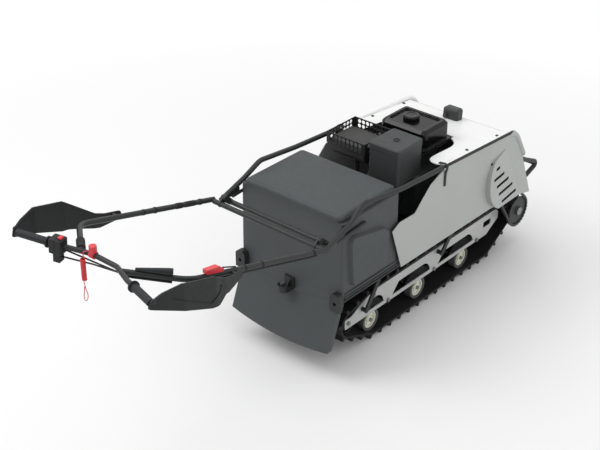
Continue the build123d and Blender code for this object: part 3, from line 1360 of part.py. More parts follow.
def port_elbow(side, y, z):
    """Route from a port on the side of the cylinder head out to the given Y and up to the given Z."""
    return [
        (port.X, side * (barrel_half + SEAT), port.Z),
        (port.X, y, port.Z),
        (port.X, y, z),
    ]


air_x = (AIRBOX_X0 + AIRBOX_X1) / 2
air_y = (AIRBOX_Y0 + AIRBOX_Y1) / 2
air_l = AIRBOX_X1 - AIRBOX_X0
air_w = AIRBOX_Y1 - AIRBOX_Y0
with BuildPart() as air_box:
    with BuildSketch(Plane.XY.offset(AIRBOX_LOW)):
        with Locations((air_x, air_y)):
            RectangleRounded(air_l, air_w, AIRBOX_R)
    extrude(amount=AIRBOX_H - AIRBOX_LID_H)
    with BuildSketch(Plane.XY.offset(AIRBOX_TOP)):
        with Locations((air_x, air_y)):
            RectangleRounded(air_l + 2 * AIRBOX_LID_OUT, air_w + 2 * AIRBOX_LID_OUT, AIRBOX_R + AIRBOX_LID_OUT)
    extrude(amount=-AIRBOX_LID_H)
    fillet(air_box.edges().group_by(Axis.Z)[-1], AIRBOX_R / 2)
    # Carburettor under the box and its elbow from the cylinder head
    with Locations((port.X, air_y, AIRBOX_LOW)):
        Box(CARB_L, CARB_L, CARB_H, align=(Align.CENTER, Align.CENTER, Align.MAX))
    tube(port_elbow(-1, air_y, AIRBOX_LOW), PIPE_BEND, PIPE_R)
save(air_box, "air_box")

muffler_x = (MUFFLER_X0 + MUFFLER_X1) / 2
muffler_y = (MUFFLER_Y0 + MUFFLER_Y1) / 2
muffler_l = MUFFLER_X1 - MUFFLER_X0
muffler_w = MUFFLER_Y1 - MUFFLER_Y0
with BuildPart() as muffler:
    with Locations((muffler_x, muffler_y, MUFFLER_LOW)):
        Box(muffler_l, muffler_w, MUFFLER_H, align=(Align.CENTER, Align.CENTER, Align.MIN))
    fillet(muffler.edges().filter_by(Axis.Y), MUFFLER_R)
    tube(port_elbow(1, muffler_y, MUFFLER_LOW), PIPE_BEND, PIPE_R)
save(muffler, "muffler")

# Guard: a fence of round holes that stands round the muffler on pegs
mesh_l = muffler_l + 2 * (MESH_GAP + MESH_SHEET)
mesh_w = muffler_w + 2 * (MESH_GAP + MESH_SHEET)
mesh_low = MUFFLER_TOP + MESH_RISE - MESH_FOOT
mesh_z = mesh_low + MESH_FOOT / 2
with BuildPart() as muffler_guard:
    with BuildSketch(Plane.XY.offset(mesh_low)):
        with Locations((muffler_x, muffler_y)):
            Rectangle(mesh_l, mesh_w)
            Rectangle(mesh_l - 2 * MESH_SHEET, mesh_w - 2 * MESH_SHEET, mode=Mode.SUBTRACT)
    extrude(amount=MESH_FOOT)
    with BuildSketch(Plane.XZ.offset(-muffler_y)):
        with Locations((muffler_x, mesh_z)):
            with GridLocations(MESH_PITCH, MESH_PITCH, int(muffler_l / MESH_PITCH), MESH_ROWS):
                Circle(MESH_HOLE_R)
    extrude(amount=mesh_w, both=True, mode=Mode.SUBTRACT)
    with BuildSketch(Plane.YZ.offset(muffler_x)):
        with Locations((muffler_y, mesh_z)):
            with GridLocations(MESH_PITCH, MESH_PITCH, int(muffler_w / MESH_PITCH), MESH_ROWS):
                Circle(MESH_HOLE_R)
    extrude(amount=mesh_l, both=True, mode=Mode.SUBTRACT)
    for side in SIDES:
        peg_y = muffler_y + side * (muffler_w / 2 + SEAT)
        peg_z = MUFFLER_TOP - PEG_DROP
        with Locations(*[(muffler_x + step * PEG_STEP / 2, peg_y, peg_z) for step in SIDES]):
            Cylinder(
                PEG_R,
                MESH_GAP + MESH_SHEET / 2,
                rotation=(-side * 90, 0, 0),
                align=(Align.CENTER, Align.CENTER, Align.MIN),
            )
save(muffler_guard, "muffler_guard")
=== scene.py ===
import json
import math

import bmesh
import bpy
from mathutils import Matrix, Vector


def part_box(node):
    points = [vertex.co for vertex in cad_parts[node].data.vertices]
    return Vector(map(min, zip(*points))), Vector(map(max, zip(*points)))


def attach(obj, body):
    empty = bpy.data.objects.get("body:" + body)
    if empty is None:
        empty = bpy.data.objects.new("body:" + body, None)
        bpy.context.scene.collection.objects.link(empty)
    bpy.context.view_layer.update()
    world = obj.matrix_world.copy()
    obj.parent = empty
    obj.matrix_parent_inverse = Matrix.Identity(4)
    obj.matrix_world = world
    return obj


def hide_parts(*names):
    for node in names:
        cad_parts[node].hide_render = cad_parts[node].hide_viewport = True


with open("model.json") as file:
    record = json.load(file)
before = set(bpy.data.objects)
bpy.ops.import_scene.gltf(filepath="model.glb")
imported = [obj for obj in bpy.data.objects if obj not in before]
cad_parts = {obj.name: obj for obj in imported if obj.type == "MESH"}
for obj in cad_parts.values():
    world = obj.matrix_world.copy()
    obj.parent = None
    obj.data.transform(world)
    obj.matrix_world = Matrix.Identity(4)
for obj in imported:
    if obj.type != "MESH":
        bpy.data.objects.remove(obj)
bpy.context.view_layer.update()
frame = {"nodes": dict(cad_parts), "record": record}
NODES = frame["nodes"]

# Left and right of the middle plane
LEFT_RIGHT = (1, -1)

# Camera of the photograph: place in metres, angles in degrees, lens and sensor in millimetres
CAMERA_AT = Vector((-4.0269, -3.3619, 3.6394))
CAMERA_YAW = 40.95
CAMERA_PITCH = -30.22
CAMERA_ROLL = 0.10
CAMERA_LENS = 77.5
CAMERA_REACH = 200.0
SENSOR_W = 36.0

# Floor: half its size, its albedo, and the distances between which it turns to plain white
FLOOR_HALF = 40.0
FLOOR_ALBEDO = 0.90
FLOOR_FADE = (1.2, 3.8)
WHITE = (1.0, 1.0, 1.0, 1.0)

# Light on the object: level of the world, and where the lamps point
WORLD_LEVEL = 0.70
LAMP_AIM = Vector((0, 0, 0.4))
# Studio lamps, columns: name, place, size, power
LAMPS = [
    ("key", (-2.5, 3.0, 5.0), 3.0, 118.0),
    ("top", (0.5, 0.0, 6.0), 4.0, 65.0),
    ("fill", (0.8, -4.5, 0.9), 2.5, 32.0),
]

# Noise of the finishes, columns: features a metre, detail
CLOUD_NOISE = (5.0, 6.0)
GLOSS_NOISE = (60.0, 5.0)
EDGE_NOISE = (45.0, 4.0)
GRAIN_DETAIL = 3.0
# Band of the noise that is spread over the whole range of tint and gloss, and how far the roughness goes
NOISE_BAND = (0.3, 0.7)
GLOSS_SPREAD = 0.07
# Worn edges, and the painted highlight on the tank's edges: how far the rounded normal leaves the true one,
# as a cosine, and the breaks along the edge
EDGE_TURN = (0.99, 0.86)
EDGE_BAND = (0.35, 0.65)
EDGE_LEAST = 0.2
EDGE_SAMPLES = 4
# Sockets of the Mix node when it mixes colours
MIX_A = 6
MIX_B = 7
MIX_RESULT = 2

# Finishes, columns: material slot, colour, roughness, colour of worn edges (a painted highlight on the
# tank's edges), other values of the finish
FINISHES = [
    ("belt_rubber", (0.013, 0.013, 0.014), 0.64, (0.05, 0.05, 0.05),
     dict(wear_and_highlight_share=0.5, tint=0.25, grain=350.0, relief=0.3, depth=0.0008, specular=0.25)),
    ("tyre_rubber", (0.078, 0.080, 0.077), 0.66, (0.15, 0.15, 0.145),
     dict(tint=0.2, grain=420.0, relief=0.25, specular=0.25)),
    ("cream_plastic", (0.72, 0.72, 0.62), 0.44, (0.5, 0.49, 0.43),
     dict(wear_and_highlight_share=0.3, tint=0.06)),
    ("dark_plastic", (0.012, 0.013, 0.0135), 0.48, (0.06, 0.06, 0.06),
     dict(tint=0.12, grain=1300.0, relief=0.25, specular=0.28)),
    ("zinc_steel", (0.26, 0.26, 0.255), 0.38, (0.5, 0.5, 0.49),
     dict(metallic=1.0, tint=0.12)),
    ("rail_alloy", (0.50, 0.51, 0.50), 0.46, (0.72, 0.72, 0.71),
     dict(metallic=0.5, tint=0.08, grain=420.0, stretch=(0.08, 1, 1))),
    ("black_paint", (0.019, 0.0205, 0.021), 0.42, (0.12, 0.12, 0.12),
     dict(wear_and_highlight_share=0.3, tint=0.12, grain=1500.0, relief=0.18, specular=0.32)),
    ("sprocket_steel", (0.020, 0.022, 0.023), 0.45, (0.22, 0.22, 0.22),
     dict(tint=0.15, specular=0.4)),
    ("chain_steel", (0.05, 0.05, 0.05), 0.45, (0.3, 0.3, 0.29),
     dict(wear_and_highlight_share=0.6, metallic=0.6, tint=0.2)),
    ("cast_alloy", (0.075, 0.08, 0.083), 0.55, (0.25, 0.25, 0.25),
     dict(metallic=0.4, tint=0.2, grain=300.0, relief=0.4)),
    ("grey_plastic", (0.0645, 0.0715, 0.074), 0.50, (0.14, 0.145, 0.15),
     dict(wear_and_highlight_share=0.45, tint=0.035, grain=1100.0, relief=0.3, specular=0.22, edge=0.0025)),
    ("panel_grey", (0.385, 0.405, 0.39), 0.40, (0.62, 0.63, 0.62),
     dict(wear_and_highlight_share=0.5, tint=0.025, grain=900.0, relief=0.06, specular=0.4)),
    ("hood_white", (0.86, 0.87, 0.86), 0.36, (0.66, 0.66, 0.66),
     dict(wear_and_highlight_share=0.15, tint=0.015, grain=900.0, relief=0.05, coat=0.1)),
    ("lamp_black", (0.03, 0.032, 0.033), 0.42, (0.12, 0.12, 0.12),
     dict(tint=0.1, specular=0.35)),
    ("grip_rubber", (0.020, 0.022, 0.024), 0.60, (0.06, 0.06, 0.06),
     dict(tint=0.15, grain=500.0, relief=0.35, specular=0.28)),
    ("red_plastic", (0.70, 0.040, 0.053), 0.38, (0.8, 0.3, 0.3),
     dict(wear_and_highlight_share=0.3, tint=0.06, coat=0.1)),
    ("engine_grey", (0.044, 0.048, 0.049), 0.50, (0.1, 0.1, 0.1),
     dict(wear_and_highlight_share=0.4, tint=0.06, grain=1100.0, relief=0.25, specular=0.3, edge=0.0025)),
    # Tank: its light edge colour and high share are a painted highlight along the rims, not wear
    ("tank_black", (0.005, 0.005, 0.0055), 0.17, (0.13, 0.13, 0.135),
     dict(wear_and_highlight_share=0.6, tint=0.1, grain=250.0, relief=0.02, edge=0.004, specular=0.28)),
    ("exhaust_steel", (0.048, 0.047, 0.046), 0.56, (0.18, 0.17, 0.16),
     dict(metallic=0.3, tint=0.25, grain=260.0, relief=0.3)),
]

# Lamp lens: colour, roughness, transmission, index of refraction, and its flutes
LENS_COLOUR = (0.85, 0.88, 0.9)
LENS_ROUGHNESS = 0.06
LENS_TRANSMISSION = 0.8
LENS_INDEX = 1.49
FLUTE_NOISE = (220.0, 1.0)
FLUTE_STRETCH = (1, 1, 0.05)
FLUTE_RELIEF = 0.3
FLUTE_DEPTH = 0.0005

# Lanyard from the stop switch to the coil, along the part's own route, in metres
LANYARD_LEAD = [
    (-1.326, 0.066, 1.024), (-1.341, 0.079, 1.0255), (-1.347, 0.085, 1.014), (-1.3435, 0.081, 1.000),
    (-1.3385, 0.0815, 0.9915),
]
# Coil: the top of its axis and its length as in the part, the room at its ends, its radius and turns
COIL_TOP = Vector((-1.345, 0.088, 0.993))
COIL_L = 0.107
COIL_INSET = 0.005
COIL_R = 0.0092
COIL_TURNS = 24
POINTS_A_TURN = 14
# Lower end of the lanyard below the coil, from the foot of the coil's axis
LOOP_ROUTE = [
    (0.0058, 0.0062, 0.001), (0.0022, 0.0072, -0.005), (-0.0004, 0.0040, -0.012), (0.0000, 0.0008, -0.022),
    (0.0004, 0.0, -0.034), (0.0060, 0.0, -0.050), (0.0105, 0.0, -0.070), (0.0075, 0.0, -0.090),
    (-0.0010, 0.0, -0.0935), (-0.0090, 0.0, -0.086), (-0.0100, 0.0, -0.068), (-0.0070, 0.0, -0.050),
    (-0.0042, 0.0, -0.036), (-0.0042, 0.0, -0.026),
]
# Wire of the lanyard: diameter, and steps round the wire and between points
LANYARD_WIRE = 0.0036
WIRE_ROUND_STEPS = 3
WIRE_POINT_STEPS = 4

# Cage tubes under the hood's lips, repeated from the part's own sizes: radius, Y, corners in X and Z, bend
TUBE_R = 0.0125
CAGE_Y = 0.321
CAGE_REAR = Vector((0.188, 0.818))
CAGE_CORNER = Vector((1.137, 0.7615))
CAGE_NOSE = Vector((1.240, 0.592))
CAGE_BEND_R = 0.115

# Lips bent round the cage tubes: run past the bend, gap to the tube, thickness and steps
LIP_NOSE_RUN = 0.130
LIP_GAP = 0.0004
LIP_T = 0.0024
LIP_ARC_STEPS = 12
LIP_BEND_STEPS = 12
# Share of the bend over which the lip's reach changes
LIP_CHANGE = 0.5
# Rear end in X, and reach in degrees from the tube's outer side: first and last on the run, then at the nose
HOOD_LIP_X = 0.512
HOOD_LIP_ARC = (70.0, 176.0, 96.0, 232.0)
PANEL_LIP_X = 0.500
PANEL_LIP_ARC = (-88.0, 6.0, -88.0, 94.0)

# Plane of the hood, repeated from the part's own sizes: its front edge in X and Z, and its slope in degrees
HOOD_FRONT_X = 1.085
HOOD_FRONT_Z = 0.763
HOOD_SLOPE = 4.6
# Corner of the hood's opening beside the tank: outline in X and Y, depth under the hood's top and thickness
CORNER_OUTLINE = [
    (0.506, 0.2750), (0.507, 0.2590), (0.513, 0.2440), (0.524, 0.2320), (0.545, 0.2240), (0.575, 0.2200),
    (0.620, 0.2180), (0.680, 0.2170), (0.715, 0.2160), (0.740, 0.2130), (0.762, 0.2050), (0.782, 0.1925),
    (0.799, 0.1750), (0.809, 0.1600), (0.814, 0.1515), (0.844, 0.1515), (0.844, 0.2425),
]
CORNER_DROP = 0.0003
CORNER_T = 0.003

# Hem of the rear apron: its upper edge in X and Z, half width, way down, depth at the middle and ends
HEM_X = -0.306
HEM_Z = 0.150
HEM_HALF = 0.300
HEM_DOWN = Vector((-0.350, 0, -0.937))
HEM_DEEP = 0.028
HEM_LEAST = 0.001
HEM_T = 0.006
HEM_STEPS = 24

# Fuel cap: radius, ribs and their depth, and the angle up to which its faces look smooth
CAP_R = 0.040
CAP_RIBS = 22
CAP_RIB = 0.0014
CAP_SIDES = 132
CAP_SMOOTH = 50.0
# Shape of the cap from the foot up, columns: share of the radius, share of the height
CAP_SHAPE = [
    (0.95, 0.0), (1.0, 0.08), (1.0, 0.72), (0.97, 0.82), (0.84, 0.93), (0.72, 0.96), (0.66, 0.90),
    (0.40, 0.90),
]

# Pull ring on the air box's lid: place in X and Y, radius, and the radius of its wire
PULL_X = 0.425
PULL_Y = -0.105
PULL_R = 0.014
PULL_WIRE_R = 0.0022
PULL_SIDES = 28
PULL_WIRE_SIDES = 14
# Height of the ring's middle as a share of its wire's radius, and the place of its screw from the middle
PULL_LIFT = 0.8
PULL_SCREW = Vector((0.012, 0.006, 0))

# Slots of the pods, repeated from the part's own sizes, columns: rear X, front X, Z
POD_SLOTS = [
    (0.958, 1.000, 0.613), (0.936, 1.050, 0.561), (0.966, 1.102, 0.512), (0.991, 1.148, 0.460),
    (1.027, 1.192, 0.404),
]
# Three spots on the outer face of the left pod
POD_SKIN = [Vector((1.062, 0.326, 0.694)), Vector((1.236, 0.326, 0.357)), Vector((0.898, 0.352, 0.566))]
# Dark plates in the slots, painted shade in the openings: depth behind the pod's face, thickness, half
# height, and length past the slot's ends
SLOT_SHADE_DEEP = 0.0090
SLOT_SHADE_T = 0.0010
SLOT_SHADE_HALF_H = 0.0135
SLOT_SHADE_OVER = 0.008

# Places of bolts and screws: hood bolts by X and Y, pod bolts and guard screws by X and Z
HOOD_BOLTS_X = [1.017, 0.750]
HOOD_BOLT_Y = 0.292
POD_BOLT_X = 0.936
POD_BOLT_Z = 0.650
GUARD_SCREW_X = -1.424
GUARD_SCREW_Z = 1.0385
# Button bolt from its foot up, columns: radius, height
BOLT_PROFILE = [
    (0.0090, -0.0006), (0.0090, 0.0012), (0.0084, 0.0016), (0.0066, 0.0017), (0.0064, 0.0036),
    (0.0050, 0.0050), (0.0030, 0.0055),
]
# Small screw with a flanged head, columns: radius, height
SCREW_PROFILE = [
    (0.0105, -0.0006), (0.0105, 0.0010), (0.0098, 0.0016), (0.0072, 0.0016), (0.0070, 0.0038),
    (0.0055, 0.0046), (0.0030, 0.0047),
]
BOLT_SIDES = 28
# Height and distance from the middle plane, both outside the part, from which a fitting looks for its seat
SEAT_FROM_Z = 1.2
SEAT_FROM_Y = 0.6

# Arms of the handlebar: lower end and apex on the left
ARM_LOW = Vector((-0.3655, 0.340, 0.752))
ARM_APEX = Vector((-1.164, 0.322, 0.975))
# Bands on the arms, columns: side, X of the middle, length, thickness
ARM_BANDS = [
    (1, -0.738, 0.008, 0.0022), (1, -0.808, 0.012, 0.0012), (1, -0.593, 0.034, 0.0014),
    (1, -0.524, 0.060, 0.0010), (1, -0.458, 0.010, 0.0022), (-1, -0.870, 0.008, 0.0022),
    (-1, -0.772, 0.008, 0.0022), (-1, -0.458, 0.010, 0.0022),
]
# How deep a band bites into its tube, and its chamfer as a share of the thickness
BAND_BITE = 0.0002
BAND_CHAMFER = 0.4
BAND_SIDES = 32

# Latch strap on each side: X of its middle, half width, thickness, and its path in Y and Z
LATCH_X = 0.522
LATCH_HALF_W = 0.0085
LATCH_T = 0.0034
LATCH_PATH = [
    (0.2900, 0.8115), (0.3000, 0.8120), (0.3090, 0.8135), (0.3170, 0.8145), (0.3250, 0.8140),
    (0.3320, 0.8105), (0.3362, 0.8040), (0.3372, 0.7960), (0.3360, 0.7860), (0.3325, 0.7740),
    (0.3298, 0.7600), (0.3290, 0.7440), (0.3288, 0.7250), (0.3288, 0.7080), (0.3300, 0.6980),
]
# Chamfer across the strap as a share of its thickness, and the share of its edge that stays upright
LATCH_CHAMFER = 0.3
LATCH_UPRIGHT = 0.4


def link_object(name, data):
    """Put a new object with this data in the scene."""
    piece = bpy.data.objects.new(name, data)
    bpy.context.scene.collection.objects.link(piece)
    return piece


def rgba(colour):
    """A colour with full cover."""
    return (*colour, 1.0)


class Nodes:
    """The node tree of a material or of the world."""

    def __init__(self, tree):
        self.tree = tree

    def add(self, kind, **inputs):
        """A new node with values or links on its inputs."""
        node = self.tree.nodes.new(kind)
        for key, value in inputs.items():
            self.feed(node.inputs[key], value)
        return node

    def feed(self, socket, value):
        """Link a socket to another socket, or set its value."""
        if isinstance(value, bpy.types.NodeSocket):
            self.tree.links.new(value, socket)
        else:
            socket.default_value = value

    def math(self, operation, a, b):
        """Two values put together by this operation."""
        node = self.add("ShaderNodeMath")
        node.operation = operation
        self.feed(node.inputs[0], a)
        self.feed(node.inputs[1], b)
        return node.outputs[0]

    def either(self, share, a, b):
        """A shader between a and b."""
        node = self.add("ShaderNodeMixShader")
        for socket, value in zip(node.inputs, (share, a, b)):
            self.feed(socket, value)
        return node.outputs[0]

    def shown(self):
        """One for the rays that should see a plain white background."""
        rays = self.add("ShaderNodeLightPath").outputs
        direct = self.math("MAXIMUM", rays["Is Camera Ray"], rays["Is Glossy Ray"])
        return self.math("MAXIMUM", direct, rays["Is Transmission Ray"])


class Surface(Nodes):
    """A procedural material around one principled shader."""

    def __init__(self, name, roughness=0.5, metallic=0.0, coat=0.0, specular=0.5):
        self.material = bpy.data.materials.new(name)
        self.material.use_nodes = True
        super().__init__(self.material.node_tree)
        self.shader = self.tree.nodes["Principled BSDF"]
        self.shader.inputs["Roughness"].default_value = roughness
        self.shader.inputs["Metallic"].default_value = metallic
        self.shader.inputs["Coat Weight"].default_value = coat
        self.shader.inputs["Specular IOR Level"].default_value = specular
        self.place = self.add("ShaderNodeTexCoord").outputs["Object"]

    def noise(self, scale, detail, stretch=(1, 1, 1)):
        """Noise in the part's own space, in features a metre."""
        spot = self.add("ShaderNodeMapping", Vector=self.place, Scale=stretch)
        return self.add("ShaderNodeTexNoise", Vector=spot.outputs[0], Scale=scale, Detail=detail).outputs[0]

    def spread(self, value, low, high, to_low, to_high):
        """Map a value from one range to another, clamped."""
        node = self.add("ShaderNodeMapRange", Value=value)
        for key, amount in (("From Min", low), ("From Max", high), ("To Min", to_low), ("To Max", to_high)):
            self.feed(node.inputs[key], amount)
        return node.outputs[0]

    def blend(self, share, a, b):
        """A colour between a and b."""
        node = self.add("ShaderNodeMix")
        node.data_type = "RGBA"
        self.feed(node.inputs["Factor"], share)
        self.feed(node.inputs[MIX_A], a)
        self.feed(node.inputs[MIX_B], b)
        return node.outputs[MIX_RESULT]

    def rounded(self, radius):
        """The surface's normal, with its edges rounded by this radius."""
        node = self.add("ShaderNodeBevel", Radius=radius)
        node.samples = EDGE_SAMPLES
        return node.outputs[0]

    def edges(self, soft):
        """Where the rounded normal leaves the true one, broken up by noise."""
        dot = self.add("ShaderNodeVectorMath")
        dot.operation = "DOT_PRODUCT"
        self.feed(dot.inputs[0], soft)
        self.feed(dot.inputs[1], self.add("ShaderNodeNewGeometry").outputs["Normal"])
        sharp = self.spread(dot.outputs["Value"], *EDGE_TURN, 0.0, 1.0)
        breaks = self.spread(self.noise(*EDGE_NOISE), *EDGE_BAND, EDGE_LEAST, 1.0)
        return self.math("MULTIPLY", sharp, breaks)

    def bump(self, height, strength, distance, soft=None):
        """Fine relief on the surface."""
        node = self.add("ShaderNodeBump", Height=height, Strength=strength, Distance=distance)
        if soft:
            self.feed(node.inputs["Normal"], soft)
        self.feed(self.shader.inputs["Normal"], node.outputs[0])


def finish(name, colour, roughness, wear_and_highlight_colour, wear_and_highlight_share=0.35, tint=0.08, grain=700.0, relief=0.12, depth=0.0004,
           stretch=(1, 1, 1), edge=0.0015, **shader):
    """A finish whose colour, gloss and relief vary over the surface, with worn edges; on the tank the edge
    colour is a painted highlight.
    """
    made = Surface(name, roughness, **shader)
    soft = made.rounded(edge)
    shade = made.spread(made.noise(*CLOUD_NOISE), *NOISE_BAND, 1.0 - tint, 1.0 + tint)
    base = made.add("ShaderNodeHueSaturation", Value=shade, Color=rgba(colour)).outputs[0]
    base = made.blend(made.math("MULTIPLY", made.edges(soft), wear_and_highlight_share), base, rgba(wear_and_highlight_colour))
    made.feed(made.shader.inputs["Base Color"], base)
    gloss = (roughness - GLOSS_SPREAD, roughness + GLOSS_SPREAD)
    made.feed(made.shader.inputs["Roughness"], made.spread(made.noise(*GLOSS_NOISE), *NOISE_BAND, *gloss))
    made.bump(made.noise(grain, GRAIN_DETAIL, stretch), relief, depth, soft)
    return made.material


def lens_glass():
    """Clear moulded lens with faint flutes."""
    made = Surface("lamp_glass", LENS_ROUGHNESS)
    made.shader.inputs["Base Color"].default_value = rgba(LENS_COLOUR)
    made.shader.inputs["Transmission Weight"].default_value = LENS_TRANSMISSION
    made.shader.inputs["IOR"].default_value = LENS_INDEX
    made.bump(made.noise(*FLUTE_NOISE, FLUTE_STRETCH), FLUTE_RELIEF, FLUTE_DEPTH)
    return made.material


# Material of each slot in the record
LOOKS = {slot: finish(slot, colour, rough, wear_and_highlight_colour, **rest) for slot, colour, rough, wear_and_highlight_colour, rest in FINISHES}
LOOKS["lamp_glass"] = lens_glass()


def dress_nodes():
    """Give every carried-over node the finish of its own slot."""
    for row in frame["record"]["subparts"]:
        node = NODES[row["node"]]
        node.data.materials.clear()
        node.data.materials.append(LOOKS[row["material_slot"]])


def seat(node, start, direction):
    """Where a line first meets a node, and the surface's normal there."""
    hit, at, normal, _ = NODES[node].ray_cast(Vector(start), Vector(direction))
    if not hit:
        raise ValueError(f"{node} isn't on this line")
    return at, normal


def seat_below(node, x, y):
    """The seat on top of a node."""
    return seat(node, (x, y, SEAT_FROM_Z), (0, 0, -1))


def seat_beside(node, side, x, z):
    """The seat on the outer side of a node."""
    return seat(node, (x, side * SEAT_FROM_Y, z), (0, -side, 0))


def on_side(spot, side):
    """A spot of the left side, or its mirror image on the right."""
    return Vector((spot.x, side * spot.y, spot.z))


class Shape:
    """A mesh that is put together from lofted and turned forms."""

    def __init__(self):
        self.mesh = bmesh.new()

    def loft(self, rings, around=False):
        """Skin rings of points one after the other, capped or closed on itself."""
        rows = [[self.mesh.verts.new(point) for point in ring] for ring in rings]
        pairs = list(zip(rows, rows[1:]))
        if around:
            pairs.append((rows[-1], rows[0]))
        count = len(rows[0])
        for a, b in pairs:
            for i in range(count):
                j = (i + 1) % count
                self.mesh.faces.new((a[i], a[j], b[j], b[i]))
        if not around:
            self.mesh.faces.new(rows[0][::-1])
            self.mesh.faces.new(rows[-1])

    def turn(self, at, axis, profile, sides, around=False):
        """Turn a profile of radius and height about an axis."""
        spin = Vector(axis).to_track_quat("Z", "Y")
        angles = [math.tau * i / sides for i in range(sides)]
        rings = []
        for radius, height in profile:
            ring = [Vector((radius * math.cos(a), radius * math.sin(a), height)) for a in angles]
            rings.append([Vector(at) + spin @ point for point in ring])
        self.loft(rings, around)

    def piece(self, name, body, slot, smooth=35.0):
        """The finished object, riding on its body."""
        bmesh.ops.recalc_face_normals(self.mesh, faces=self.mesh.faces)
        data = bpy.data.meshes.new(name)
        self.mesh.to_mesh(data)
        self.mesh.free()
        for face in data.polygons:
            face.use_smooth = True
        data.set_sharp_from_angle(angle=math.radians(smooth))
        made = link_object(name, data)
        data.materials.append(LOOKS[slot])
        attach(made, body)
        return made


def upward(angle):
    """The upward normal, in X and Z, of a line at this angle."""
    return Vector((-math.sin(angle), math.cos(angle)))


def lip_path(rear_x):
    """Spots along a cage tube in X and Z, each with the upward normal and how far the reach has changed."""
    run = (CAGE_CORNER - CAGE_REAR).normalized()
    fall = (CAGE_NOSE - CAGE_CORNER).normalized()
    first = math.atan2(run.y, run.x)
    last = math.atan2(fall.y, fall.x)
    begin = CAGE_CORNER - run * CAGE_BEND_R * math.tan((first - last) / 2)
    middle = begin - upward(first) * CAGE_BEND_R
    rear = CAGE_REAR + run * ((rear_x - CAGE_REAR.x) / run.x)
    spots = [(rear, upward(first), 0.0)]
    for i in range(LIP_BEND_STEPS + 1):
        normal = upward(first + (last - first) * i / LIP_BEND_STEPS)
        changed = min(1.0, i / (LIP_CHANGE * LIP_BEND_STEPS))
        spots.append((middle + normal * CAGE_BEND_R, normal, changed))
    end, normal, changed = spots[-1]
    spots.append((end + fall * LIP_NOSE_RUN, normal, changed))
    return spots


def tube_lips(name, slot, rear_x, arc):
    """Sheet lips bent round both cage tubes."""
    shape = Shape()
    inner = TUBE_R + LIP_GAP
    for side in LEFT_RIGHT:
        rings = []
        for at, normal, changed in lip_path(rear_x):
            low = math.radians(arc[0] + (arc[2] - arc[0]) * changed)
            high = math.radians(arc[1] + (arc[3] - arc[1]) * changed)
            angles = [low + (high - low) * i / LIP_ARC_STEPS for i in range(LIP_ARC_STEPS + 1)]
            section = [(inner + LIP_T, a) for a in angles] + [(inner, a) for a in reversed(angles)]
            ring = []
            for radius, angle in section:
                rise = normal * radius * math.sin(angle)
                ring.append((at.x + rise.x, side * (CAGE_Y + radius * math.cos(angle)), at.y + rise.y))
            rings.append(ring)
        shape.loft(rings)
    shape.piece(name, "chassis", slot)


def hood_corners():
    """White edges of the hood's opening, beside the tank."""
    shape = Shape()
    rise = math.tan(math.radians(HOOD_SLOPE))
    for side in LEFT_RIGHT:
        rings = []
        for drop in (CORNER_DROP + CORNER_T, CORNER_DROP):
            top = HOOD_FRONT_Z - drop
            rings.append([(x, side * y, top + (HOOD_FRONT_X - x) * rise) for x, y in CORNER_OUTLINE])
        shape.loft(rings)
    shape.piece("hood_corners", "chassis", "hood_white")


def apron_hem():
    """Bowed lower edge of the rear apron."""
    shape = Shape()
    inward = Vector((-HEM_DOWN.z, 0, HEM_DOWN.x)).normalized() * HEM_T
    rings = []
    for i in range(HEM_STEPS + 1):
        y = HEM_HALF * (2 * i / HEM_STEPS - 1)
        top = Vector((HEM_X, y, HEM_Z))
        foot = top + HEM_DOWN * (HEM_DEEP * (1 - (y / HEM_HALF) ** 2) + HEM_LEAST)
        rings.append([top, foot, foot + inward, top + inward])
    shape.loft(rings)
    shape.piece("apron_hem", "chassis", "grey_plastic")


def fuel_cap():
    """Ribbed screw cap of the tank, in place of the plain one."""
    low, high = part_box("fuel_cap")
    middle = [(a + b) / 2 for a, b in zip(low, high)]
    shape = Shape()
    rings = []
    for share, rise in CAP_SHAPE:
        z = low[2] + (high[2] - low[2]) * rise
        ring = []
        for i in range(CAP_SIDES):
            angle = math.tau * i / CAP_SIDES
            ribs = CAP_RIB * math.cos(CAP_RIBS * angle) if share == 1.0 else 0.0
            radius = CAP_R * share + ribs
            ring.append((middle[0] + radius * math.cos(angle), middle[1] + radius * math.sin(angle), z))
        rings.append(ring)
    shape.loft(rings)
    cap = shape.piece("fuel_cap_ribbed", "chassis", "tank_black", smooth=CAP_SMOOTH)
    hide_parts("fuel_cap")


def lid_pull():
    """Wire ring that lies on the air box's lid, with its screw."""
    shape = Shape()
    at, normal = seat_below("air_box", PULL_X, PULL_Y)
    profile = []
    for i in range(PULL_WIRE_SIDES):
        angle = math.tau * i / PULL_WIRE_SIDES
        profile.append((PULL_R + PULL_WIRE_R * math.cos(angle), PULL_WIRE_R * (PULL_LIFT + math.sin(angle))))
    shape.turn(at, normal, profile, PULL_SIDES, around=True)
    shape.turn(at + PULL_SCREW, normal, SCREW_PROFILE, BOLT_SIDES)
    shape.piece("lid_pull", "chassis", "black_paint")


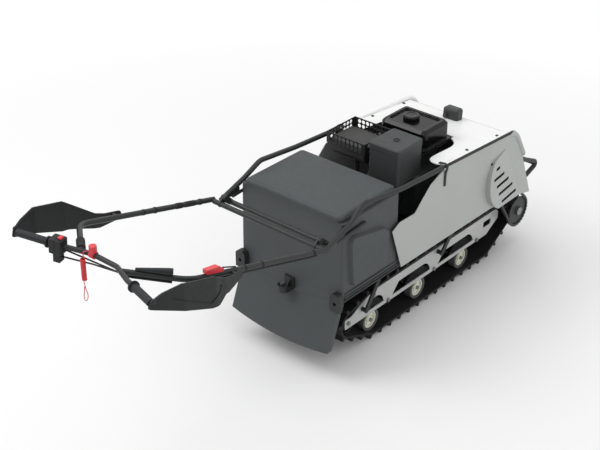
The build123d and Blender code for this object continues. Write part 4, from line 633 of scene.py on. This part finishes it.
def pod_slot_shade_plates():
    """Dark plates behind the slots of the side pods: painted shade in the openings."""
    shape = Shape()
    for side in LEFT_RIGHT:
        a, b, c = [on_side(spot, side) for spot in POD_SKIN]
        normal = (b - a).cross(c - a).normalized()
        if normal.y * side < 0:
            normal = -normal
        for rear, front, z in POD_SLOTS:
            low, high = z - SLOT_SHADE_HALF_H, z + SLOT_SHADE_HALF_H
            first, last = rear - SLOT_SHADE_OVER, front + SLOT_SHADE_OVER
            corners = []
            for x, level in ((first, low), (last, low), (last, high), (first, high)):
                y = a.y - (normal.x * (x - a.x) + normal.z * (level - a.z)) / normal.y
                corners.append(Vector((x, y, level)))
            depths = (SLOT_SHADE_DEEP + SLOT_SHADE_T, SLOT_SHADE_DEEP)
            shape.loft([[corner - normal * depth for corner in corners] for depth in depths])
    # The dark plates are painted shade, standing in for the shadow inside the slots
    shape.piece("pod_slot_shade_plates", "chassis", "dark_plastic")


def body_bolts():
    """Button bolts on the hood's strips and at the top of each pod."""
    shape = Shape()
    for side in LEFT_RIGHT:
        seats = [seat_below("hood_top", x, side * HOOD_BOLT_Y) for x in HOOD_BOLTS_X]
        panel = "side_panel_left" if side > 0 else "side_panel_right"
        seats.append(seat_beside(panel, side, POD_BOLT_X, POD_BOLT_Z))
        for at, normal in seats:
            shape.turn(at, normal, BOLT_PROFILE, BOLT_SIDES)
    shape.piece("body_bolts", "chassis", "lamp_black")


def guard_screws():
    """Screws that hold the hand guards to the ends of the bar."""
    shape = Shape()
    for side in LEFT_RIGHT:
        at, normal = seat_beside("hand_guards", side, GUARD_SCREW_X, GUARD_SCREW_Z)
        shape.turn(at, normal, SCREW_PROFILE, BOLT_SIDES)
    shape.piece("guard_screws", "handlebar_frame", "black_paint")


def arm_bands():
    """Cable ties and tape round the arms."""
    shape = Shape()
    for side, x, length, thick in ARM_BANDS:
        low = on_side(ARM_LOW, side)
        apex = on_side(ARM_APEX, side)
        at = low.lerp(apex, (x - low.x) / (apex.x - low.x))
        half = length / 2
        inner = TUBE_R - BAND_BITE
        outer = TUBE_R + thick
        edge = thick * BAND_CHAMFER
        profile = [(inner, -half), (outer - edge, -half), (outer, edge - half), (outer, half - edge),
                   (outer - edge, half), (inner, half)]
        shape.turn(at, apex - low, profile, BAND_SIDES, around=True)
    shape.piece("arm_bands", "handlebar_frame", "belt_rubber")


def hood_latches():
    """Rubber straps that hold the hood down over the cage tubes."""
    shape = Shape()
    half = LATCH_HALF_W
    flat = half - LATCH_T * LATCH_CHAMFER
    across = [(-flat, -1), (flat, -1), (half, -LATCH_UPRIGHT), (half, LATCH_UPRIGHT), (flat, 1), (-flat, 1),
              (-half, LATCH_UPRIGHT), (-half, -LATCH_UPRIGHT)]
    for side in LEFT_RIGHT:
        path = [Vector((side * y, z)) for y, z in LATCH_PATH]
        rings = []
        for i, at in enumerate(path):
            along = (path[min(i + 1, len(path) - 1)] - path[max(i - 1, 0)]).normalized()
            out = Vector((-along.y, along.x)) * side * LATCH_T / 2
            rings.append([(LATCH_X + x, at.x + out.x * k, at.y + out.y * k) for x, k in across])
        shape.loft(rings)
    shape.piece("hood_latches", "chassis", "grip_rubber")


def nurbs(name, points, bevel):
    """A curve of one open NURBS spline on these control points."""
    data = bpy.data.curves.new(name, "CURVE")
    data.dimensions = "3D"
    data.bevel_depth = bevel
    data.bevel_resolution = WIRE_ROUND_STEPS
    data.use_fill_caps = True
    spline = data.splines.new("NURBS")
    spline.points.add(len(points) - 1)
    for spot, at in zip(spline.points, points):
        spot.co = (*at, 1.0)
    spline.order_u = 3
    spline.use_endpoint_u = True
    spline.resolution_u = WIRE_POINT_STEPS
    return link_object(name, data)


def lanyard():
    """The red curly cord from the stop switch, with its loop."""
    route = [Vector(spot) for spot in LANYARD_LEAD]
    steps = COIL_TURNS * POINTS_A_TURN
    for i in range(steps + 1):
        angle = math.tau * i / POINTS_A_TURN
        spin = Vector((math.cos(angle), math.sin(angle), 0)) * COIL_R
        drop = COIL_INSET + (COIL_L - 2 * COIL_INSET) * i / steps
        route.append(COIL_TOP - Vector((0, 0, drop)) + spin)
    foot = COIL_TOP - Vector((0, 0, COIL_L))
    route += [foot + Vector(spot) for spot in LOOP_ROUTE]
    cord = nurbs("lanyard_cord", route, LANYARD_WIRE / 2)
    cord.data.materials.append(LOOKS["red_plastic"])
    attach(cord, "handlebar_frame")
    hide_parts("lanyard_coil", "lanyard_clip")


def floor():
    """Pale floor that keeps the shadow and turns to plain white far away."""
    h = FLOOR_HALF
    mesh = bpy.data.meshes.new("floor")
    mesh.from_pydata([(-h, -h, 0), (h, -h, 0), (h, h, 0), (-h, h, 0)], [], [(0, 1, 2, 3)])
    ground = link_object("floor", mesh)
    made = Surface("floor_white")
    pale = made.add("ShaderNodeBsdfDiffuse", Color=rgba([FLOOR_ALBEDO] * 3))
    plain = made.add("ShaderNodeEmission", Color=WHITE, Strength=1.0)
    away = made.add("ShaderNodeVectorMath", Vector=made.place)
    away.operation = "LENGTH"
    far = made.spread(away.outputs["Value"], *FLOOR_FADE, 0.0, 1.0)
    share = made.math("MULTIPLY", far, made.shown())
    result = made.either(share, pale.outputs[0], plain.outputs[0])
    made.feed(made.tree.nodes["Material Output"].inputs["Surface"], result)
    mesh.materials.append(made.material)


def backdrop():
    """World that lights the object evenly, and shows as plain white."""
    world = bpy.data.worlds.new("studio")
    bpy.context.scene.world = world
    world.use_nodes = True
    made = Nodes(world.node_tree)
    even = made.tree.nodes["Background"]
    made.feed(even.inputs["Color"], WHITE)
    made.feed(even.inputs["Strength"], WORLD_LEVEL)
    plain = made.add("ShaderNodeBackground", Color=WHITE, Strength=1.0)
    result = made.either(made.shown(), even.outputs[0], plain.outputs[0])
    made.feed(made.tree.nodes["World Output"].inputs["Surface"], result)


def lamps():
    """Soft key from behind on the left, one lamp above, and a low fill from the right."""
    for name, at, size, power in LAMPS:
        data = bpy.data.lights.new(name, "AREA")
        data.size = size
        data.energy = power
        lamp = link_object(name, data)
        lamp.location = at
        lamp.rotation_mode = "QUATERNION"
        lamp.rotation_quaternion = (LAMP_AIM - Vector(at)).to_track_quat("-Z", "Y")


def camera():
    """The photograph's viewpoint."""
    data = bpy.data.cameras.new("camera")
    data.lens = CAMERA_LENS
    data.sensor_width = SENSOR_W
    data.clip_end = CAMERA_REACH
    made = link_object("camera", data)
    yaw, pitch = math.radians(CAMERA_YAW), math.radians(CAMERA_PITCH)
    look = Vector((math.cos(yaw) * math.cos(pitch), math.sin(yaw) * math.cos(pitch), math.sin(pitch)))
    turn = look.to_track_quat("-Z", "Y").to_matrix() @ Matrix.Rotation(math.radians(CAMERA_ROLL), 3, "Z")
    made.matrix_world = Matrix.Translation(CAMERA_AT) @ turn.to_4x4()
    bpy.context.scene.camera = made


bpy.context.scene.view_settings.view_transform = "Standard"
dress_nodes()
lanyard()
tube_lips("hood_lips", "hood_white", HOOD_LIP_X, HOOD_LIP_ARC)
tube_lips("panel_lips", "panel_grey", PANEL_LIP_X, PANEL_LIP_ARC)
hood_corners()
apron_hem()
fuel_cap()
lid_pull()
pod_slot_shade_plates()
body_bolts()
guard_screws()
arm_bands()
hood_latches()
floor()
backdrop()
lamps()
camera()
